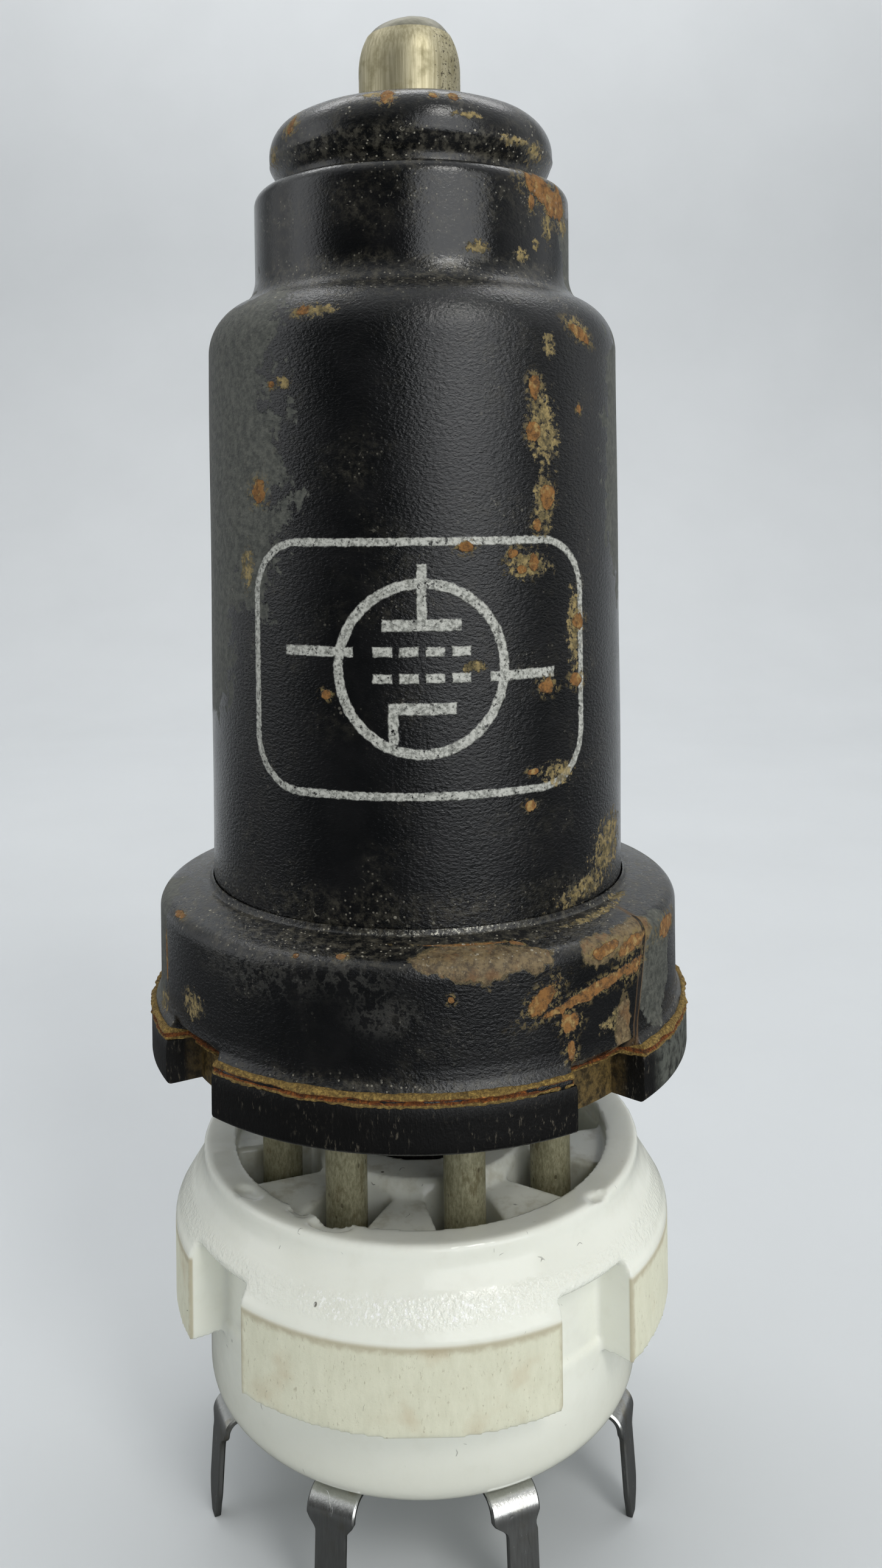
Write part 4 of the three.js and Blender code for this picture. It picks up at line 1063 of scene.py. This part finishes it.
def contact_mesh(lean):
    """A stamped strip towards the front: a foot under the body, a round bend and a narrower pointed tail."""
    sheet, foot_z, bend_r, bend = 0.36, 6.28, 11.95, 0.88
    path = [(9.9, foot_z), (bend_r, foot_z)] + arc(bend_r, foot_z - bend, bend, 90, 0, 12)[1:]
    path += [(12.83, 5.2), (12.86, 4.7), (12.95, 3.4), (13.05, 1.9), (13.1, 0.9), (13.1, 0.0)]
    path = finer(path, 0.25, closed=False)
    corners = [(-1, 0.5), (-0.93, 1), (0.93, 1), (1, 0.5), (1, -0.5), (0.93, -1), (-0.93, -1), (-1, -0.5)]

    def half_width(z):
        wide, narrow, tip = 1.4, 0.9, 0.35
        strip = narrow + (wide - narrow) * float(smoothstep(z, 4.65, 5.45))
        return strip if z > 1.6 else tip + (narrow - tip) * (z / 1.6) ** 0.8

    vertices = []
    for i, (r, z) in enumerate(path):
        before, after = path[max(i - 1, 0)], path[min(i + 1, len(path) - 1)]
        along = Vector((after[0] - before[0], after[1] - before[1])).normalized()
        across = Vector((-along.y, along.x)) * sheet / 2
        half = half_width(z)
        shift = lean * float(smoothstep(z, 5.4, 4.4))
        vertices += [(x * half + shift, -(r + across.x * y), z + across.y * y) for x, y in corners]
    return vertices, skin(len(path), len(corners))


def contacts():
    """Eight spring contacts: a solder tail, a spine up through the body, and fingers round the pin."""
    material = tinned_strip()
    for number in range(1, 9):
        angle = pin_angle(number)
        strip = spun(temporary("strip", *contact_mesh(0.35 * math.cos(number * 1.6))), angle + 6)
        spine = spun(box_mesh("spine", 10.08, 10.38, 1.2, 1.2, 6.2, 17.0), angle)
        finger_outline = [(1.35, 9.8), (1.65, 9.8), (1.65, 17.6), (1.35, 17.6)]
        fingers = sector_mesh("fingers", finger_outline, -130, 130, 24)
        fingers.data.transform(Matrix.Translation((0, -PIN_CIRCLE * MM, 0)))
        combined(strip, [spine, spun(fingers, angle)], "UNION")
        strip.name = f"spring_contact_{number}"
        dressed(strip, SOCKET, material, [f"contact_{number}"], crease=32)


# ---------------------------------------------------------------- what is hidden inside
def inner_parts():
    """The CAD's own solids inside the shell keep their shapes and get real finishes."""
    looks = {
        "bare_steel": inner_metal("bare_steel", (150, 152, 154), (96, 98, 100), 0.4),
        "nickel": inner_metal("nickel", (184, 184, 180), (132, 132, 128), 0.34),
        "carbonised": inner_metal("carbonised", (58, 58, 60), (28, 28, 30), 0.75, 0.3),
        "oxide": inner_metal("oxide", (238, 236, 228), (210, 206, 196), 0.85, 0.0),
        "mica": inner_metal("mica", (216, 206, 178), (178, 166, 138), 0.25, 0.0),
        "glass": sealing_glass(),
    }
    slots = {row["node"]: row["material_slot"] for row in frame["record"]["subparts"]}
    for node, obj in frame["nodes"].items():
        if slots[node] in looks and not obj.hide_render:
            for i in range(len(obj.material_slots)):
                obj.material_slots[i].material = looks[slots[node]]


# ---------------------------------------------------------------- stage, light and camera
def stage():
    """A pale bench that curves up into a pale backdrop. Its near part is dark in mirror reflections."""
    depth, rise, bend = 400.0, 500.0, 160.0
    profile = [(-500.0, 0.0), (depth - bend, 0.0)]
    turns = np.radians(np.linspace(0, 90, 17))
    profile += [(depth - bend + bend * math.sin(t), bend - bend * math.cos(t)) for t in turns[1:]]
    profile.append((depth, rise))
    vertices = [(x, y, z - 0.02) for y, z in profile for x in (-700.0, 700.0)]
    faces = [(2 * i, 2 * i + 1, 2 * i + 3, 2 * i + 2) for i in range(len(profile) - 1)]
    floor = temporary("floor", vertices, faces)
    for polygon in floor.data.polygons:
        polygon.use_smooth = True
    s = Surface("bench")
    tone = s.mix(s.noise(30.0, 1, 4.0), shade(196, 199, 201), shade(204, 207, 209))
    mirrored = Term(s, s.node("ShaderNodeLightPath").outputs["Is Glossy Ray"])
    tone = s.mix(mirrored * s.smooth(s.y, 150.0, 50.0) * 0.9, tone, shade(24, 25, 26))
    s.bump(s.noise(1.2, 2, 3.0) * 0.01)
    bench = s.finish(Base_Color=tone, Roughness=0.6, Specular_IOR_Level=0.2)
    floor.data.materials.append(bench)


def area_light(name, place, target, width, height, power, tint=(1, 1, 1)):
    light = bpy.data.lights.new(name, "AREA")
    light.shape, light.size, light.size_y = "RECTANGLE", width * MM, height * MM
    light.energy, light.color = power, tint
    obj = bpy.data.objects.new(name, light)
    obj.location = Vector(place) * MM
    obj.rotation_euler = (Vector(target) - Vector(place)).to_track_quat("-Z", "Y").to_euler()
    bpy.context.scene.collection.objects.link(obj)


def lighting():
    """A bright room beside, above and behind the object, and a dim one behind the camera for the paint.

    The camera itself sees a pale room all round."""
    world = bpy.data.worlds.new("studio")
    bpy.context.scene.world = world
    world.use_nodes = True
    tree = world.node_tree

    def node(kind, inputs, **settings):
        made = tree.nodes.new(kind)
        for key, value in settings.items():
            setattr(made, key, value)
        for key, value in inputs.items():
            if isinstance(value, bpy.types.NodeSocket):
                tree.links.new(value, made.inputs[key])
            else:
                made.inputs[key].default_value = value
        return made

    split = node("ShaderNodeSeparateXYZ", {0: node("ShaderNodeTexCoord", {}).outputs["Generated"]})
    behind = node("ShaderNodeMapRange", {0: split.outputs["Y"], 1: -0.75, 2: 0.25, 3: 0.05, 4: 0.66},
                  interpolation_type="SMOOTHSTEP")
    above = node("ShaderNodeMapRange", {0: split.outputs["Z"], 1: 0.25, 2: 0.95, 3: 0.0, 4: 0.34},
                 interpolation_type="SMOOTHSTEP")
    total = node("ShaderNodeMath", {0: behind.outputs[0], 1: above.outputs[0]}, operation="ADD")
    seen = node("ShaderNodeLightPath", {}).outputs["Is Camera Ray"]
    pale = node("ShaderNodeMath", {0: seen, 1: 0.6}, operation="MULTIPLY")
    total = node("ShaderNodeMath", {0: total.outputs[0], 1: pale.outputs[0]}, operation="MAXIMUM")
    background = tree.nodes["Background"]
    background.inputs["Color"].default_value = (0.96, 0.985, 1.0, 1.0)
    tree.links.new(total.outputs[0], background.inputs["Strength"])
    area_light("key", (135, -250, 300), (0, 0, 50), 90, 95, 0.36, (1.0, 0.99, 0.95))
    area_light("window", (165, -310, 130), (0, 0, 55), 320, 260, 0.62, (0.96, 0.98, 1.0))
    area_light("side", (-330, -60, 150), (0, 0, 40), 160, 260, 0.12, (0.95, 0.97, 1.0))
    area_light("backdrop_wash", (0, 170, 430), (0, 390, 120), 500, 160, 1.2)


def camera():
    """The photograph's viewpoint: close, level, a little above the middle, with the lens shifted down."""
    distance, height = 77.83, SEAT + 32.2
    pan, tilt, roll = -0.00879, 0.00069, -0.0109
    data = bpy.data.cameras.new("camera")
    obj = bpy.data.objects.new("camera", data)
    bpy.context.scene.collection.objects.link(obj)
    data.sensor_width, data.lens = 36.0, 28.537
    data.shift_x, data.shift_y = 0.01009, -0.17582
    data.clip_start, data.clip_end = 0.005, 10.0
    right = Vector((math.cos(pan), math.sin(pan), 0))
    ahead = Vector((-math.sin(pan) * math.cos(tilt), math.cos(pan) * math.cos(tilt), -math.sin(tilt)))
    up = right.cross(ahead)
    right, up = right * math.cos(roll) + up * math.sin(roll), up * math.cos(roll) - right * math.sin(roll)
    turn = Matrix((right, up, -ahead)).transposed()
    obj.matrix_world = Matrix.Translation(Vector((0, -distance, height)) * MM) @ turn.to_4x4()
    bpy.context.scene.camera = obj


black_moulding = phenolic()
envelope()
collar()
insulator(black_moulding)
cap()
cap_dome()
skirt()
seam_rust()
base_moulding(black_moulding)
pins()
socket_body()
contacts()
inner_parts()
stage()
lighting()
camera()
bpy.context.scene.view_settings.view_transform = "Standard"
